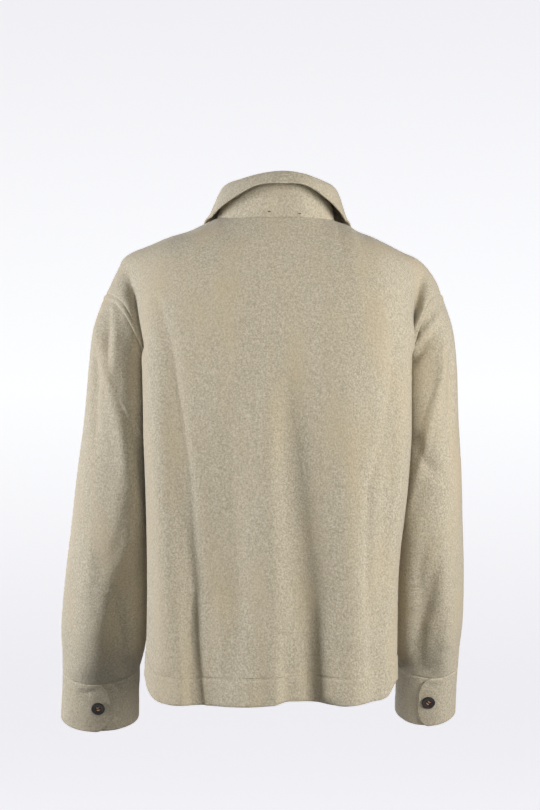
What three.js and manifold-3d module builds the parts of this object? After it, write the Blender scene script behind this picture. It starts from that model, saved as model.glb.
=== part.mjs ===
// A boxy wool overshirt jacket, worn and buttoned, as it hangs on a figure that isn't there.
// Millimetres, +Z up, the front faces -Y and the wearer's left arm is on +X.
// The origin is the middle of the neck, about level with the seam between the back and the collar.
// Every piece of cloth is a wall. Its outside is worked out from sections and folds, and its inside lies one
// cloth thickness further in.
import * as THREE from 'three';
import { mergeVertices } from 'three/addons/utils/BufferGeometryUtils.js';
import Module from 'manifold-3d';

const wasm = await Module();
wasm.setup();

// Cloth and making
const clothThickness = 2.6;
const seamGap = 0.3;
const layerLift = clothThickness + 0.5;
const hemTurnUp = 37;
const hemStep = 0.7;

// Torso heights
const armpitZ = -318;
const torsoFootZ = -690;

// Neck opening, measured along the seam of the collar
const neckHalfWidth = 82;
const neckBackY = 78;
const neckFrontY = -90;
const neckBackZ = -4;
const neckPointZ = { left: -2, right: -6 };
const neckFrontDrop = 75;
// How far the upper back and the chest have turned towards level where they meet the collar, in degrees
const neckTurnBack = 62;
const neckTurnFront = 56;

// Where the columns of a panel change over from the neck to the shoulder seam
const neckShare = 1 / 3;
// The armhole is hollowed between armholeStart of a half and its edge
const armholeDepth = 58;
const armholeStart = 0.8;
const armholeGap = 1;

// Front closing: the left front lies over the right one
const frontOverlap = 17;
const overlapFlat = 4;
const overlapBlend = 34;
const frontButtonTopZ = -100;
const frontButtonPitch = 102;
const frontButtonCount = 6;

// Buttons
const buttonRadius = 10;
const buttonThickness = 3.4;
const buttonDish = 1.0;
const buttonEdgeRound = 1.2;
const buttonRimWidth = 2.2;
const buttonRimSlope = 1.2;
const buttonHoleRadius = 1.1;
const buttonHoleOffset = 2.1;

// Sections of the torso from the hem up to the armpit: how deep it is at the back and the front, and ridgeY,
// how far from the side seam it folds round to the side
const torsoSections = [
  { z: torsoFootZ, back: 133, front: 126, ridgeY: 72 },
  { z: -600, back: 137, front: 132, ridgeY: 75 },
  { z: -500, back: 142, front: 138, ridgeY: 80 },
  { z: -400, back: 147, front: 142, ridgeY: 84 },
  { z: armpitZ, back: 150, front: 144, ridgeY: 86 },
];
// How far out those ridges and the side seam between them are
const torsoSides = [
  { z: torsoFootZ, ridgeLeft: 186, ridgeRight: 175, sideLeft: 174, sideRight: 164 },
  { z: -600, ridgeLeft: 180, ridgeRight: 175, sideLeft: 167, sideRight: 162 },
  { z: -500, ridgeLeft: 178, ridgeRight: 177, sideLeft: 164, sideRight: 162 },
  { z: -400, ridgeLeft: 179, ridgeRight: 188, sideLeft: 165, sideRight: 173 },
  { z: armpitZ, ridgeLeft: 182, ridgeRight: 194, sideLeft: 169, sideRight: 180 },
];
// The panel between the side seam and the centre line: how far out and how deep its two points in between
// are, as shares of the ridge and of the depth
const flankOut = 0.88;
const flankDepth = 0.6;
const bladeOut = 0.55;
const bladeDepth = 0.965;
// The front folds round to the side a little further in than the back
const frontRidgeOut = 0.93;
const frontRidgeDepth = 0.95;
// How square the upper torso is, beside the neck and at the sleeve, and how it closes in towards the top
const squareAtNeck = 2.1;
const squareAtSleeve = 2.9;
const squareShare = 0.55;
const closeInPower = 1.24;
// The roundness of the neck opening, and of the drop of its front part
const neckRoundPower = 0.92;
const neckDropPower = 1.95;

// The hem, by share of a half from the centre (0) to the side seam (1) and on to the left or right
const hemLine = [
  { share: 0, left: -691, right: -691 },
  { share: 0.1, left: -693, right: -687 },
  { share: 0.25, left: -693, right: -690 },
  { share: 0.36, left: -692, right: -693 },
  { share: 0.5, left: -692, right: -689 },
  { share: 0.6, left: -687, right: -684 },
  { share: 0.67, left: -674, right: -668 },
  { share: 0.75, left: -655, right: -661 },
  { share: 1, left: -650, right: -655 },
];

// The shoulder seam, from beside the neck out to where the dropped sleeve starts
const shoulderLine = [
  { left: 104, right: 104, z: -13 },
  { left: 120, right: 117, z: -21 },
  { left: 150, right: 140, z: -30 },
  { left: 180, right: 165, z: -42 },
  { left: 206, right: 186, z: -52 },
  { left: 219, right: 207, z: -61 },
  { left: 225, right: 221, z: -73 },
  { left: 235, right: 235, z: -93 },
  { left: 248, right: 246, z: -120 },
];

// Folds of the two torso halves. A fold runs from (topX, topZ) to (lowX, lowZ). height is how far it stands
// out at its low end, negative for a trough, and topHeight is the same at its top.
const backFolds = [
  { topX: 174, topZ: -110, lowX: 128, lowZ: -690, width: 30, topHeight: 3, height: 10 },
  { topX: 158, topZ: -140, lowX: 99, lowZ: -690, width: 17, topHeight: -3, height: -15 },
  { topX: 72, topZ: -300, lowX: 62, lowZ: -540, width: 26, topHeight: -3, height: -5 },
  { topX: 44, topZ: -560, lowX: 46, lowZ: -720, width: 32, topHeight: 0, height: 9 },
  { topX: 9, topZ: -220, lowX: -2, lowZ: -720, width: 17, topHeight: 3, height: 8 },
  { topX: -12, topZ: -215, lowX: -64, lowZ: -720, width: 24, topHeight: -3, height: -18 },
  { topX: -100, topZ: -190, lowX: -104, lowZ: -720, width: 34, topHeight: 4, height: 8 },
  { topX: -172, topZ: -180, lowX: -140, lowZ: -720, width: 15, topHeight: -3, height: -6 },
];
const frontFolds = [
  { topX: 168, topZ: -150, lowX: 120, lowZ: -700, width: 26, topHeight: 3, height: 8 },
  { topX: 128, topZ: -250, lowX: 88, lowZ: -700, width: 18, topHeight: -2, height: -9 },
  { topX: 62, topZ: -330, lowX: 52, lowZ: -720, width: 24, topHeight: 1, height: 6 },
  { topX: -60, topZ: -300, lowX: -56, lowZ: -720, width: 22, topHeight: 1, height: 7 },
  { topX: -112, topZ: -240, lowX: -92, lowZ: -700, width: 18, topHeight: -2, height: -10 },
  { topX: -164, topZ: -160, lowX: -124, lowZ: -700, width: 26, topHeight: 3, height: 8 },
];
const foldFade = 46;
// Folds fade out towards the side seams and the shoulders, and the neck leans over to one side
const foldEdgeShare = 0.86;
const foldTopRise = 1.6;
const leanX = -9.5;
const leanHalfWidth = 130;
const leanFromZ = -420;
const leanToZ = -120;

// Sections of a sleeve below the armhole. outer and inner are the two edges seen from behind, clear is how
// far the inner edge stands off the torso's side, mid and depth place it from front to back, and tilt turns it
// forward.
const sleeveSections = [
  { name: 'cap', outerX: 258, outerZ: -160, clear: 7, innerZ: -331, mid: 0, depth: 66, tilt: 0 },
  { name: 'upper arm', outerX: 265, outerZ: -215, clear: 8, innerZ: -352, mid: -4, depth: 72, tilt: 0 },
  { name: 'biceps', outerX: 270, outerZ: -290, clear: 8, innerZ: -388, mid: -9, depth: 77, tilt: 4 },
  { name: 'above elbow', outerX: 278, outerZ: -370, clear: 8, innerZ: -440, mid: -14, depth: 78, tilt: 8 },
  { name: 'elbow', outerX: 284, outerZ: -445, clear: 12, innerZ: -495, mid: -24, depth: 76, tilt: 13 },
  { name: 'forearm', outerX: 291, outerZ: -520, clear: 13, innerZ: -555, mid: -43, depth: 70, tilt: 18 },
  { name: 'wrist', outerX: 295, outerZ: -598, clear: 15, innerZ: -618, mid: -68, depth: 61, tilt: 22 },
  { name: 'cuff seam', outerX: 291, outerZ: -660, clear: 22, innerZ: -657, mid: -93, depth: 50, tilt: 24 },
];
const cuffEdge = { outerX: 293, outerZ: -733, clear: 20, innerZ: -733, mid: -121, depth: 46, tilt: 24 };
// The left arm hangs a little further out and lower than the right one
const armSwing = { left: 16, right: -17 };
const armSpread = { left: 3, right: 0 };
const armDrop = { left: -4, right: 5 };
const swingStartZ = -200;
const swingPower = 1.3;
const swingReach = 400;
const dropReach = 500;
const spreadTopZ = -620;
const spreadReach = 60;
// The inner edge follows the swing by this share, and moves towards the torso by no more than swingInLeast
const swingInShare = 0.35;
const swingInLeast = -6;
const sleeveSquare = 2.3;
// Folds of a sleeve: round is the turn from the outer edge (0) through the back (0.25) to the inner edge
// (0.5), along is counted in sections from the cap (1).
const sleeveFolds = [
  { topRound: 0.12, topAlong: 1.4, lowRound: 0.15, lowAlong: 3.0, width: 0.035, height: -5 },
  { topRound: 0.2, topAlong: 1.3, lowRound: 0.36, lowAlong: 4.0, width: 0.035, height: 4 },
  { topRound: 0.3, topAlong: 5.2, lowRound: 0.27, lowAlong: 8.2, width: 0.05, height: -8 },
  { topRound: 0.2, topAlong: 5.0, lowRound: 0.17, lowAlong: 8.2, width: 0.05, height: 4 },
  { topRound: 0.7, topAlong: 3.6, lowRound: 0.8, lowAlong: 5.4, width: 0.05, height: -6 },
  { topRound: 0.76, topAlong: 5.4, lowRound: 0.7, lowAlong: 8.0, width: 0.05, height: 5 },
];

// The cuff's button tab, in turns from the outer edge through the back
const cuffTabEnd = 0.292;
const cuffOverlap = 0.14;
const cuffTabRounding = 17;
const cuffTabBlunt = 0.25;
const cuffRadius = 50;
const cuffLayerLift = clothThickness + 0.7;
const cuffSeamGap = seamGap + 0.5;
const cuffButtonRound = 0.245;
const cuffButtonDrop = 0.48;

// Cross sections of the collar, out and up from its neck seam, at turns round the neck from the centre back
// (0) to the centre front (1). The collar stands up and only its edge is rolled outwards.
const collarSections = [
  { turn: 0, standOut: 0, standUp: 27, rollOut: 1, rollUp: 60, roll: 6, edgeOut: 14, edgeUp: 44 },
  { turn: 0.12, standOut: -1, standUp: 27, rollOut: -1, rollUp: 56.5, roll: 6, edgeOut: 12, edgeUp: 41 },
  { turn: 0.25, standOut: -3, standUp: 26, rollOut: -4, rollUp: 49, roll: 6.5, edgeOut: 11, edgeUp: 22 },
  { turn: 0.42, standOut: -6, standUp: 23, rollOut: -10, rollUp: 43, roll: 7, edgeOut: 12, edgeUp: -4 },
  { turn: 0.55, standOut: -6, standUp: 22, rollOut: -13, rollUp: 37, roll: 7, edgeOut: 16, edgeUp: -8 },
  { turn: 0.72, standOut: -3, standUp: 19, rollOut: -5, rollUp: 32, roll: 7, edgeOut: 36, edgeUp: -8 },
  { turn: 0.86, standOut: 1, standUp: 17, rollOut: 3, rollUp: 28, roll: 7, edgeOut: 50, edgeUp: -24 },
  { turn: 0.97, standOut: 3, standUp: 15, rollOut: 8, rollUp: 25, roll: 6, edgeOut: 48, edgeUp: -62 },
];
const collarSeamOut = 3.4;
const collarThickness = 3;
const standGap = 1;
const leafSeamWay = 0.022;
const collarTilt = -0.055;
// The right side of the leaf is pushed out a little further than the left one, most at swayTurn
const leafSwayRight = 5;
const swayTurn = 0.45;
const swayWidth = 0.2;
// The roll's points before and after its crown, in shares of the roll
const rollBefore = { out: -0.7, up: -0.9 };
const rollAfter = { out: 0.9, up: -0.8 };

// How fine the walls are
const torsoColumns = 36;
const torsoRowsLow = 10;
const torsoRowsHigh = 9;
const sleeveColumns = 22;
const sleeveRowsPerSection = 2.25;
const cuffRows = 3;
const cuffColumns = 34;
const cuffTabColumns = 6;
const collarColumns = 46;

const lerp = THREE.MathUtils.lerp;
const clamp = THREE.MathUtils.clamp;
const vec = (x, y, z) => new THREE.Vector3(x, y, z);
const smooth = (value) => THREE.MathUtils.smoothstep(value, 0, 1);

// Catmull-Rom value of one column of a table at a place counted in rows
function tableValue(rows, key, place) {
  const at = clamp(place, 0, rows.length - 1);
  const i = Math.min(Math.floor(at), rows.length - 2);
  const f = at - i;
  const v = [-1, 0, 1, 2].map((k) => rows[clamp(i + k, 0, rows.length - 1)][key]);
  const a = -0.5 * v[0] + 1.5 * v[1] - 1.5 * v[2] + 0.5 * v[3];
  const b = v[0] - 2.5 * v[1] + 2 * v[2] - 0.5 * v[3];
  const c = 0.5 * (v[2] - v[0]);
  return ((a * f + b) * f + c) * f + v[1];
}

// The place, counted in rows, at which a rising column reaches a value
function tablePlace(rows, key, value) {
  const last = rows.length - 1;
  if (value <= rows[0][key]) return 0;
  if (value >= rows[last][key]) return last;
  let low = 0;
  let high = last;
  for (let step = 0; step < 40; step++) {
    const middle = (low + high) / 2;
    if (tableValue(rows, key, middle) < value) low = middle;
    else high = middle;
  }
  return (low + high) / 2;
}

// Points of a curve between two of its parameters, and a function that walks them by share of length
function walker(curve, from, to, samples = 64) {
  const points = [];
  for (let i = 0; i <= samples; i++) points.push(curve.getPoint(lerp(from, to, i / samples)));
  const lengths = [0];
  for (let i = 1; i <= samples; i++) lengths.push(lengths[i - 1] + points[i].distanceTo(points[i - 1]));
  const total = lengths[samples];
  return (share) => {
    const want = clamp(share, 0, 1) * total;
    let i = 1;
    while (i < samples && lengths[i] < want) i++;
    const f = (want - lengths[i - 1]) / (lengths[i] - lengths[i - 1]);
    return points[i - 1].clone().lerp(points[i], f);
  };
}

// The closed section of the torso at a height, walked from the centre of a half to the side seam
const quarterCache = new Map();
function torsoQuarter(half, sign, z) {
  const key = `${half} ${sign} ${z.toFixed(3)}`;
  if (!quarterCache.has(key)) {
    const place = tablePlace(torsoSections, 'z', z);
    const get = (name) => tableValue(torsoSections, name, place);
    const wide = (name) => tableValue(torsoSides, name, place);
    // Sixteen points, from the left side seam over the back, the right side and the front
    const quarterPoints = (depth, ridge, ridgeY, side, h, s) => [
      vec(s * side, 0, z),
      vec(s * ridge, h * ridgeY, z),
      vec(s * ridge * flankOut, h * lerp(ridgeY, depth, flankDepth), z),
      vec(s * ridge * bladeOut, h * depth * bladeDepth, z),
      vec(0, h * depth, z),
    ];
    const backY = get('ridgeY');
    const frontY = get('ridgeY') * frontRidgeDepth;
    const leftFrontRidge = wide('ridgeLeft') * frontRidgeOut;
    const rightFrontRidge = wide('ridgeRight') * frontRidgeOut;
    const leftBack = quarterPoints(get('back'), wide('ridgeLeft'), backY, wide('sideLeft'), 1, 1);
    const rightBack = quarterPoints(get('back'), wide('ridgeRight'), backY, wide('sideRight'), 1, -1);
    const leftFront = quarterPoints(get('front'), leftFrontRidge, frontY, wide('sideLeft'), -1, 1);
    const rightFront = quarterPoints(get('front'), rightFrontRidge, frontY, wide('sideRight'), -1, -1);
    const points = [
      ...leftBack,
      ...rightBack.reverse().slice(1),
      ...rightFront.slice(1),
      ...leftFront.reverse().slice(1, -1),
    ];
    const curve = new THREE.CatmullRomCurve3(points, true, 'centripetal');
    const centre = half > 0 ? 4 / 16 : 12 / 16;
    const edge = sign > 0 ? (half > 0 ? 0 : 1) : 8 / 16;
    quarterCache.set(key, walker(curve, centre, edge));
  }
  return quarterCache.get(key);
}

// The upper edge of a torso half: the neck seam, then the shoulder seam out to the sleeve
function upperEdge(half, arm) {
  const neck = [];
  const frontZ = (neckPointZ.left + neckPointZ.right) / 2 - neckFrontDrop;
  const steps = 6;
  for (let i = 0; i <= steps; i++) {
    const a = ((i / steps) * Math.PI) / 2;
    const round = Math.pow(Math.cos(a), neckRoundPower);
    const x = neckHalfWidth * Math.pow(Math.sin(a), neckRoundPower);
    const y = (half > 0 ? neckBackY : neckFrontY) * round;
    const sink = half > 0 ? Math.cos(a) : Math.pow(Math.cos(a), neckDropPower);
    neck.push(vec(x, y, lerp(neckPointZ[arm], half > 0 ? neckBackZ : frontZ, sink)));
  }
  const beforeNeck = vec(-neck[1].x, neck[1].y, neck[1].z);
  const neckCurve = new THREE.CatmullRomCurve3([beforeNeck, ...neck], false, 'centripetal');
  const neckWalk = walker(neckCurve, 1 / neck.length, 1);
  const shoulder = [neck[steps], ...shoulderLine.map((row) => vec(row[arm], 0, row.z))];
  const shoulderWalk = walker(new THREE.CatmullRomCurve3(shoulder, false, 'centripetal'), 0, 1);
  return (share) =>
    share < neckShare ? neckWalk(share / neckShare) : shoulderWalk((share - neckShare) / (1 - neckShare));
}
const upperEdges = {
  back: { left: upperEdge(1, 'left'), right: upperEdge(1, 'right') },
  front: { left: upperEdge(-1, 'left'), right: upperEdge(-1, 'right') },
};

// The torso before its folds. side runs from the right seam (-1) over the centre line (0) to the left one
// (1), rise from the hem (0) over the armpit (1) to the neck and shoulder seam (2).
function torsoBase(half, side, rise) {
  const sign = side < 0 ? -1 : 1;
  const share = Math.abs(side);
  const arm = sign > 0 ? 'left' : 'right';
  const hem = tableValue(hemLine, arm, tablePlace(hemLine, 'share', share));
  const z = lerp(hem, armpitZ, Math.min(rise, 1));
  const low = torsoQuarter(half, sign, z)(share);
  if (rise <= 1) return low;
  const top = upperEdges[half > 0 ? 'back' : 'front'][arm](share);
  top.x *= sign;
  const climb = Math.min(rise - 1, 1);
  const neckTurn = half > 0 ? neckTurnBack : neckTurnFront;
  const fullTurn = THREE.MathUtils.degToRad(lerp(neckTurn, 90, smooth(share / neckShare)));
  const squareness = lerp(squareAtNeck, squareAtSleeve, smooth(share / squareShare));
  const cosine = (turn) => Math.pow(Math.max(Math.cos(turn), 0), 2 / squareness);
  const sine = (turn) => Math.pow(Math.sin(turn), 2 / squareness);
  const across = (cosine(climb * fullTurn) - cosine(fullTurn)) / (1 - cosine(fullTurn));
  const up = sine(climb * fullTurn) / sine(fullTurn);
  const besideArm = smooth((share - armholeStart) / (1 - armholeStart));
  const armhole = besideArm * armholeDepth * 4 * climb * (1 - climb);
  return vec(
    lerp(low.x, top.x, Math.pow(climb, closeInPower)),
    top.y + (low.y - top.y) * across + half * armhole,
    lerp(low.z, top.z, up),
  );
}

// How far the folds of a table move a point of the given x and z outwards
function foldHeight(folds, x, z) {
  let height = 0;
  for (const fold of folds) {
    const down = (fold.topZ - z) / (fold.topZ - fold.lowZ);
    const middle = lerp(fold.topX, fold.lowX, clamp(down, 0, 1.1));
    const past = Math.max(fold.lowZ - z, 0);
    const before = smooth((fold.topZ + foldFade - z) / (2 * foldFade));
    const after = 1 - smooth(past / foldFade);
    const tall = lerp(fold.topHeight, fold.height, clamp(down, 0, 1));
    const across = (x - middle) / fold.width;
    height += tall * before * after * Math.exp(-across * across);
  }
  return height;
}

// Normal of a surface given by a function of two parameters
function normalOf(surface, u, v, du, dv, sign) {
  const alongU = surface(u + du, v).sub(surface(u - du, v));
  const alongV = surface(u, v + dv).sub(surface(u, v - dv));
  return alongU.cross(alongV).multiplyScalar(sign).normalize();
}

// The part of the way from the hem to the armpit that the turned-up hem takes
const hemShare = hemTurnUp / (armpitZ - torsoFootZ);

// The outside of the torso, with its folds, the lean of the neck and the doubled hem
function torsoSkin(half, side, rise) {
  const inside = (value) => clamp(value, 0.002, 1.985);
  const base = torsoBase(half, side, rise);
  const surface = (u, v) => torsoBase(half, clamp(u, -1, 1), v);
  const normal = normalOf(surface, clamp(side, -0.99, 0.99), inside(rise), 0.008, 0.012, -half);
  const folds = half > 0 ? backFolds : frontFolds;
  const edgeFade = 1 - smooth((Math.abs(side) - foldEdgeShare) / (1 - foldEdgeShare));
  const topFade = 1 - smooth((rise - foldTopRise) / (2 - foldTopRise));
  const hem = rise < hemShare ? hemStep : 0;
  base.addScaledVector(normal, foldHeight(folds, base.x, base.z) * edgeFade * topFade + hem);
  const leaning = smooth((base.z - leanFromZ) / (leanToZ - leanFromZ));
  base.x += leanX * (1 - smooth(Math.abs(base.x) / leanHalfWidth)) * leaning;
  return base;
}

// A closed wall from its outer and inner points, given as rows of columns
function wallGeometry(outer, inner, closed) {
  const rows = outer.length;
  const columns = outer[0].length;
  const positions = [];
  for (const grid of [outer, inner]) {
    for (const row of grid) {
      for (const p of row) positions.push(p.x, p.y, p.z);
    }
  }
  const index = [];
  const at = (layer, row, column) => layer * rows * columns + row * columns + (column % columns);
  const quad = (a, b, c, d) => index.push(a, b, c, a, c, d);
  const lastColumn = closed ? columns : columns - 1;
  for (let r = 0; r < rows - 1; r++) {
    for (let c = 0; c < lastColumn; c++) {
      quad(at(0, r, c), at(0, r, c + 1), at(0, r + 1, c + 1), at(0, r + 1, c));
      quad(at(1, r, c), at(1, r + 1, c), at(1, r + 1, c + 1), at(1, r, c + 1));
    }
  }
  for (let c = 0; c < lastColumn; c++) {
    quad(at(0, 0, c), at(1, 0, c), at(1, 0, c + 1), at(0, 0, c + 1));
    quad(at(0, rows - 1, c), at(0, rows - 1, c + 1), at(1, rows - 1, c + 1), at(1, rows - 1, c));
  }
  if (!closed) {
    const end = columns - 1;
    for (let r = 0; r < rows - 1; r++) {
      quad(at(0, r, 0), at(0, r + 1, 0), at(1, r + 1, 0), at(1, r, 0));
      quad(at(0, r, end), at(1, r, end), at(1, r + 1, end), at(0, r + 1, end));
    }
  }
  // Turn the faces round if they point inwards
  let volume = 0;
  const p = (i) => vec(positions[3 * i], positions[3 * i + 1], positions[3 * i + 2]);
  for (let i = 0; i < index.length; i += 3) volume += p(index[i]).dot(p(index[i + 1]).cross(p(index[i + 2])));
  if (volume < 0) {
    for (let i = 0; i < index.length; i += 3) [index[i + 1], index[i + 2]] = [index[i + 2], index[i + 1]];
  }
  const geometry = new THREE.BufferGeometry();
  geometry.setAttribute('position', new THREE.Float32BufferAttribute(positions, 3));
  geometry.setIndex(index);
  geometry.computeVertexNormals();
  return geometry;
}

// Rows of a torso panel: even up to the armpit, one extra pair at the hem line, closer towards the shoulder
function torsoRises() {
  const rises = [0, hemShare - 0.001, hemShare + 0.004];
  for (let i = 2; i <= torsoRowsLow; i++) rises.push(i / torsoRowsLow);
  for (let i = 1; i <= torsoRowsHigh; i++) rises.push(2 - Math.pow(1 - i / torsoRowsHigh, 1.25));
  return rises;
}

// The front as it lies on the left, lifted over the right one beside the centre line
function liftedFront(side, rise) {
  const point = torsoSkin(-1, side, rise);
  const away = 1 - smooth((Math.abs(point.x) - frontOverlap - overlapFlat) / overlapBlend);
  if (away === 0) return point;
  const skin = (u, v) => torsoBase(-1, u, v);
  const normal = normalOf(skin, side, clamp(rise, 0.012, 1.985), 0.008, 0.012, 1);
  return point.addScaledVector(normal, layerLift * away);
}

// The share of a front half at which it has gone past the centre line by the overlap
function overlapShare(rise) {
  let low = 0;
  let high = 0.3;
  for (let step = 0; step < 24; step++) {
    const middle = (low + high) / 2;
    if (torsoBase(-1, middle, rise).x < frontOverlap) low = middle;
    else high = middle;
  }
  return high;
}

// A panel of the torso. sidesAt gives the side of each column at a rise, skin its outside.
function torsoPanel(half, sidesAt, skin) {
  const columns = sidesAt(0).length - 1;
  const rises = torsoRises();
  const last = rises.length - 1;
  const outer = rises.map((rise) => sidesAt(rise).map((side) => skin(side, rise)));
  const inner = rises.map((rise, r) =>
    outer[r].map((point, c) => {
      const side = clamp(sidesAt(rise)[c], -0.995, 0.995);
      const normal = normalOf(skin, side, clamp(rise, 0.004, 1.985), 0.004, 0.01, -half);
      // On the shoulder seam both halves use the normal that stands square to the seam
      if (r === last && Math.abs(side) > neckShare - 0.01) normal.setY(0).normalize();
      return point.clone().addScaledVector(normal, -clothThickness);
    }),
  );
  // Pull the side and shoulder edges back from the seams
  for (const grid of [outer, inner]) {
    for (let r = 0; r <= last; r++) {
      if (sidesAt(0)[0] === -1) nudge(grid[r], 0, 1);
      if (sidesAt(0)[columns] === 1) nudge(grid[r], columns, columns - 1);
    }
    for (let c = 0; c <= columns; c++) {
      const step = grid[last - 1][c].clone().sub(grid[last][c]).setLength(seamGap / 2);
      grid[last][c].add(step);
    }
  }
  return { outer, inner };
}

function nudge(row, from, towards) {
  const step = row[towards].clone().sub(row[from]).setLength(seamGap / 2);
  row[from].add(step);
}

// The armhole of one side: its points from the shoulder tip over the back to the armpit and up the front,
// with the normal of the panel and the direction that leads away from the panel
function armhole(sign) {
  const dense = [];
  const count = 48;
  const steps = [];
  for (let i = 0; i <= count; i++) steps.push({ half: 1, rise: 2 - i / count });
  for (let i = 1; i < count; i++) steps.push({ half: -1, rise: 1 + i / count });
  for (const { half, rise } of steps) {
    const side = sign * 0.9999;
    const skin = (u, v) => torsoSkin(half, u, v);
    const safeRise = clamp(rise, 1.01, 1.985);
    const normal = normalOf(skin, sign * 0.99, safeRise, 0.006, 0.008, -half);
    const edge = skin(side, Math.min(safeRise + 0.01, 2)).sub(skin(side, safeRise - 0.01));
    let away = normal.clone().cross(edge).normalize();
    const outwards = skin(side, safeRise).sub(skin(sign * 0.93, safeRise));
    if (rise < 1.02) {
      away = vec(0, 0, 1);
      normal.set(sign, 0, 0);
    } else if (away.dot(outwards) < 0) away.negate();
    dense.push({ point: skin(sign, rise), normal, away });
  }
  return dense;
}

const lastStation = sleeveSections.length - 1;

// A sleeve ring at a place counted in sections, as a function of the turn round it
function sleeveRing(sign, rows, place) {
  const rowsBelow = rows === sleeveSections ? 0 : lastStation;
  const get = (key) => tableValue(rows, key, place);
  const armSide = sign > 0 ? 'left' : 'right';
  const lowered = (z) => z + armDrop[armSide] * smooth((swingStartZ - z) / dropReach);
  const swung = (z) => armSwing[armSide] * Math.pow(Math.max(swingStartZ - z, 0) / swingReach, swingPower);
  const outerZ = get('outerZ');
  const innerZ = get('innerZ');
  const sideKey = sign > 0 ? 'sideLeft' : 'sideRight';
  const torsoSide = tableValue(torsoSides, sideKey, tablePlace(torsoSides, 'z', innerZ));
  const swingIn = Math.max(swung(innerZ), swingInLeast) * swingInShare;
  const spread = armSpread[armSide] * (1 - smooth((spreadTopZ - outerZ) / spreadReach));
  const outer = vec(sign * (get('outerX') + swung(outerZ) + spread), get('mid'), lowered(outerZ));
  const inner = vec(sign * (torsoSide + get('clear') + swingIn), get('mid'), lowered(innerZ));
  const centre = outer.clone().add(inner).multiplyScalar(0.5);
  const half = outer.clone().sub(inner).multiplyScalar(0.5);
  const tilt = THREE.MathUtils.degToRad(get('tilt'));
  const deep = vec(0, Math.cos(tilt), -Math.sin(tilt)).multiplyScalar(get('depth'));
  const squareness = lerp(sleeveSquare, 2, smooth((place + rowsBelow) / lastStation));
  const wave = (value) => Math.sign(value) * Math.pow(Math.abs(value), 2 / squareness);
  return (turn) => {
    const angle = 2 * Math.PI * turn;
    return centre
      .clone()
      .addScaledVector(half, wave(Math.cos(angle)))
      .addScaledVector(deep, wave(Math.sin(angle)));
  };
}

// Outwards movement of a sleeve point by the sleeve's folds
function sleeveFoldHeight(turn, along) {
  let height = 0;
  for (const fold of sleeveFolds) {
    const down = (along - fold.topAlong) / (fold.lowAlong - fold.topAlong);
    if (down < -0.3 || down > 1.3) continue;
    const middle = lerp(fold.topRound, fold.lowRound, clamp(down, 0, 1));
    const ends = smooth((down + 0.3) / 0.5) * (1 - smooth((down - 0.8) / 0.5));
    const off = (turn - middle) / fold.width;
    height += fold.height * ends * Math.exp(-off * off);
  }
  return height;
}

// The whole sleeve between the armhole and the cuff
function sleeveGrids(sign) {
  const loop = armhole(sign);
  const loopAt = (turn) => {
    const place = (turn % 1) * loop.length;
    const i = Math.floor(place) % loop.length;
    const f = place - Math.floor(place);
    const a = loop[i];
    const b = loop[(i + 1) % loop.length];
    return {
      point: a.point.clone().lerp(b.point, f),
      normal: a.normal.clone().lerp(b.normal, f).normalize(),
      away: a.away.clone().lerp(b.away, f).normalize(),
    };
  };
  // Where the sleeve leaves the panel: it carries on at the shoulder tip and folds back at the armpit
  const start = (turn) => {
    const { point, normal, away } = loopAt(turn);
    const fold = Math.PI * (1 - Math.abs(1 - 2 * turn));
    const mixed = (alongAway, alongNormal) =>
      away.clone().multiplyScalar(alongAway).addScaledVector(normal, alongNormal);
    const offset = mixed(Math.cos(fold / 2), Math.sin(fold / 2));
    const inwards = mixed(Math.sin(fold), -Math.cos(fold));
    return { point: point.addScaledVector(offset, armholeGap), inwards };
  };
  const rings = sleeveSections.map((_, i) => sleeveRing(sign, sleeveSections, i));
  const lastPlace = sleeveSections.length;
  const base = (turn, along) => {
    const controls = [-1, 0, 1, 2].map((k) => {
      const i = clamp(Math.floor(along) + k, 0, lastPlace);
      return i === 0 ? start(turn).point : rings[i - 1](turn);
    });
    const f = along - Math.floor(along);
    const blend = { x: 0, y: 0, z: 0 };
    for (const axis of ['x', 'y', 'z']) {
      blend[axis] = tableValue(controls.map((p) => ({ v: p[axis] })), 'v', 1 + f);
    }
    return vec(blend.x, blend.y, blend.z);
  };
  const skin = (turn, along) => {
    const wrapped = ((turn % 1) + 1) % 1;
    const point = base(wrapped, Math.min(along, lastPlace - 1e-6));
    const safe = clamp(along, 0.02, lastPlace - 0.02);
    const normal = normalOf((u, v) => base(((u % 1) + 1) % 1, v), wrapped, safe, 0.004, 0.015, 1);
    normal.multiplyScalar(Math.sign(normal.dot(point.clone().sub(axisPoint(rings, along)))) || 1);
    return point.addScaledVector(normal, sleeveFoldHeight(wrapped, along));
  };
  const rowCount = Math.round(lastPlace * sleeveRowsPerSection);
  const outer = [];
  const inner = [];
  for (let r = 0; r <= rowCount; r++) {
    const along = (lastPlace * r) / rowCount;
    const outerRow = [];
    const innerRow = [];
    for (let c = 0; c < sleeveColumns; c++) {
      const turn = c / sleeveColumns;
      if (r === 0) {
        const { point, inwards } = start(turn);
        outerRow.push(point);
        innerRow.push(point.clone().addScaledVector(inwards, clothThickness));
        continue;
      }
      const point = skin(turn, along);
      const safe = Math.min(along, lastPlace - 0.03);
      const normal = normalOf(skin, turn, safe, 0.004, 0.02, 1);
      normal.multiplyScalar(Math.sign(normal.dot(point.clone().sub(axisPoint(rings, along)))) || 1);
      outerRow.push(point);
      innerRow.push(point.clone().addScaledVector(normal, -clothThickness));
    }
    outer.push(outerRow);
    inner.push(innerRow);
  }
  return { outer, inner };
}

function middleOf(ring) {
  return ring(0).add(ring(0.5)).multiplyScalar(0.5);
}

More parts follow.
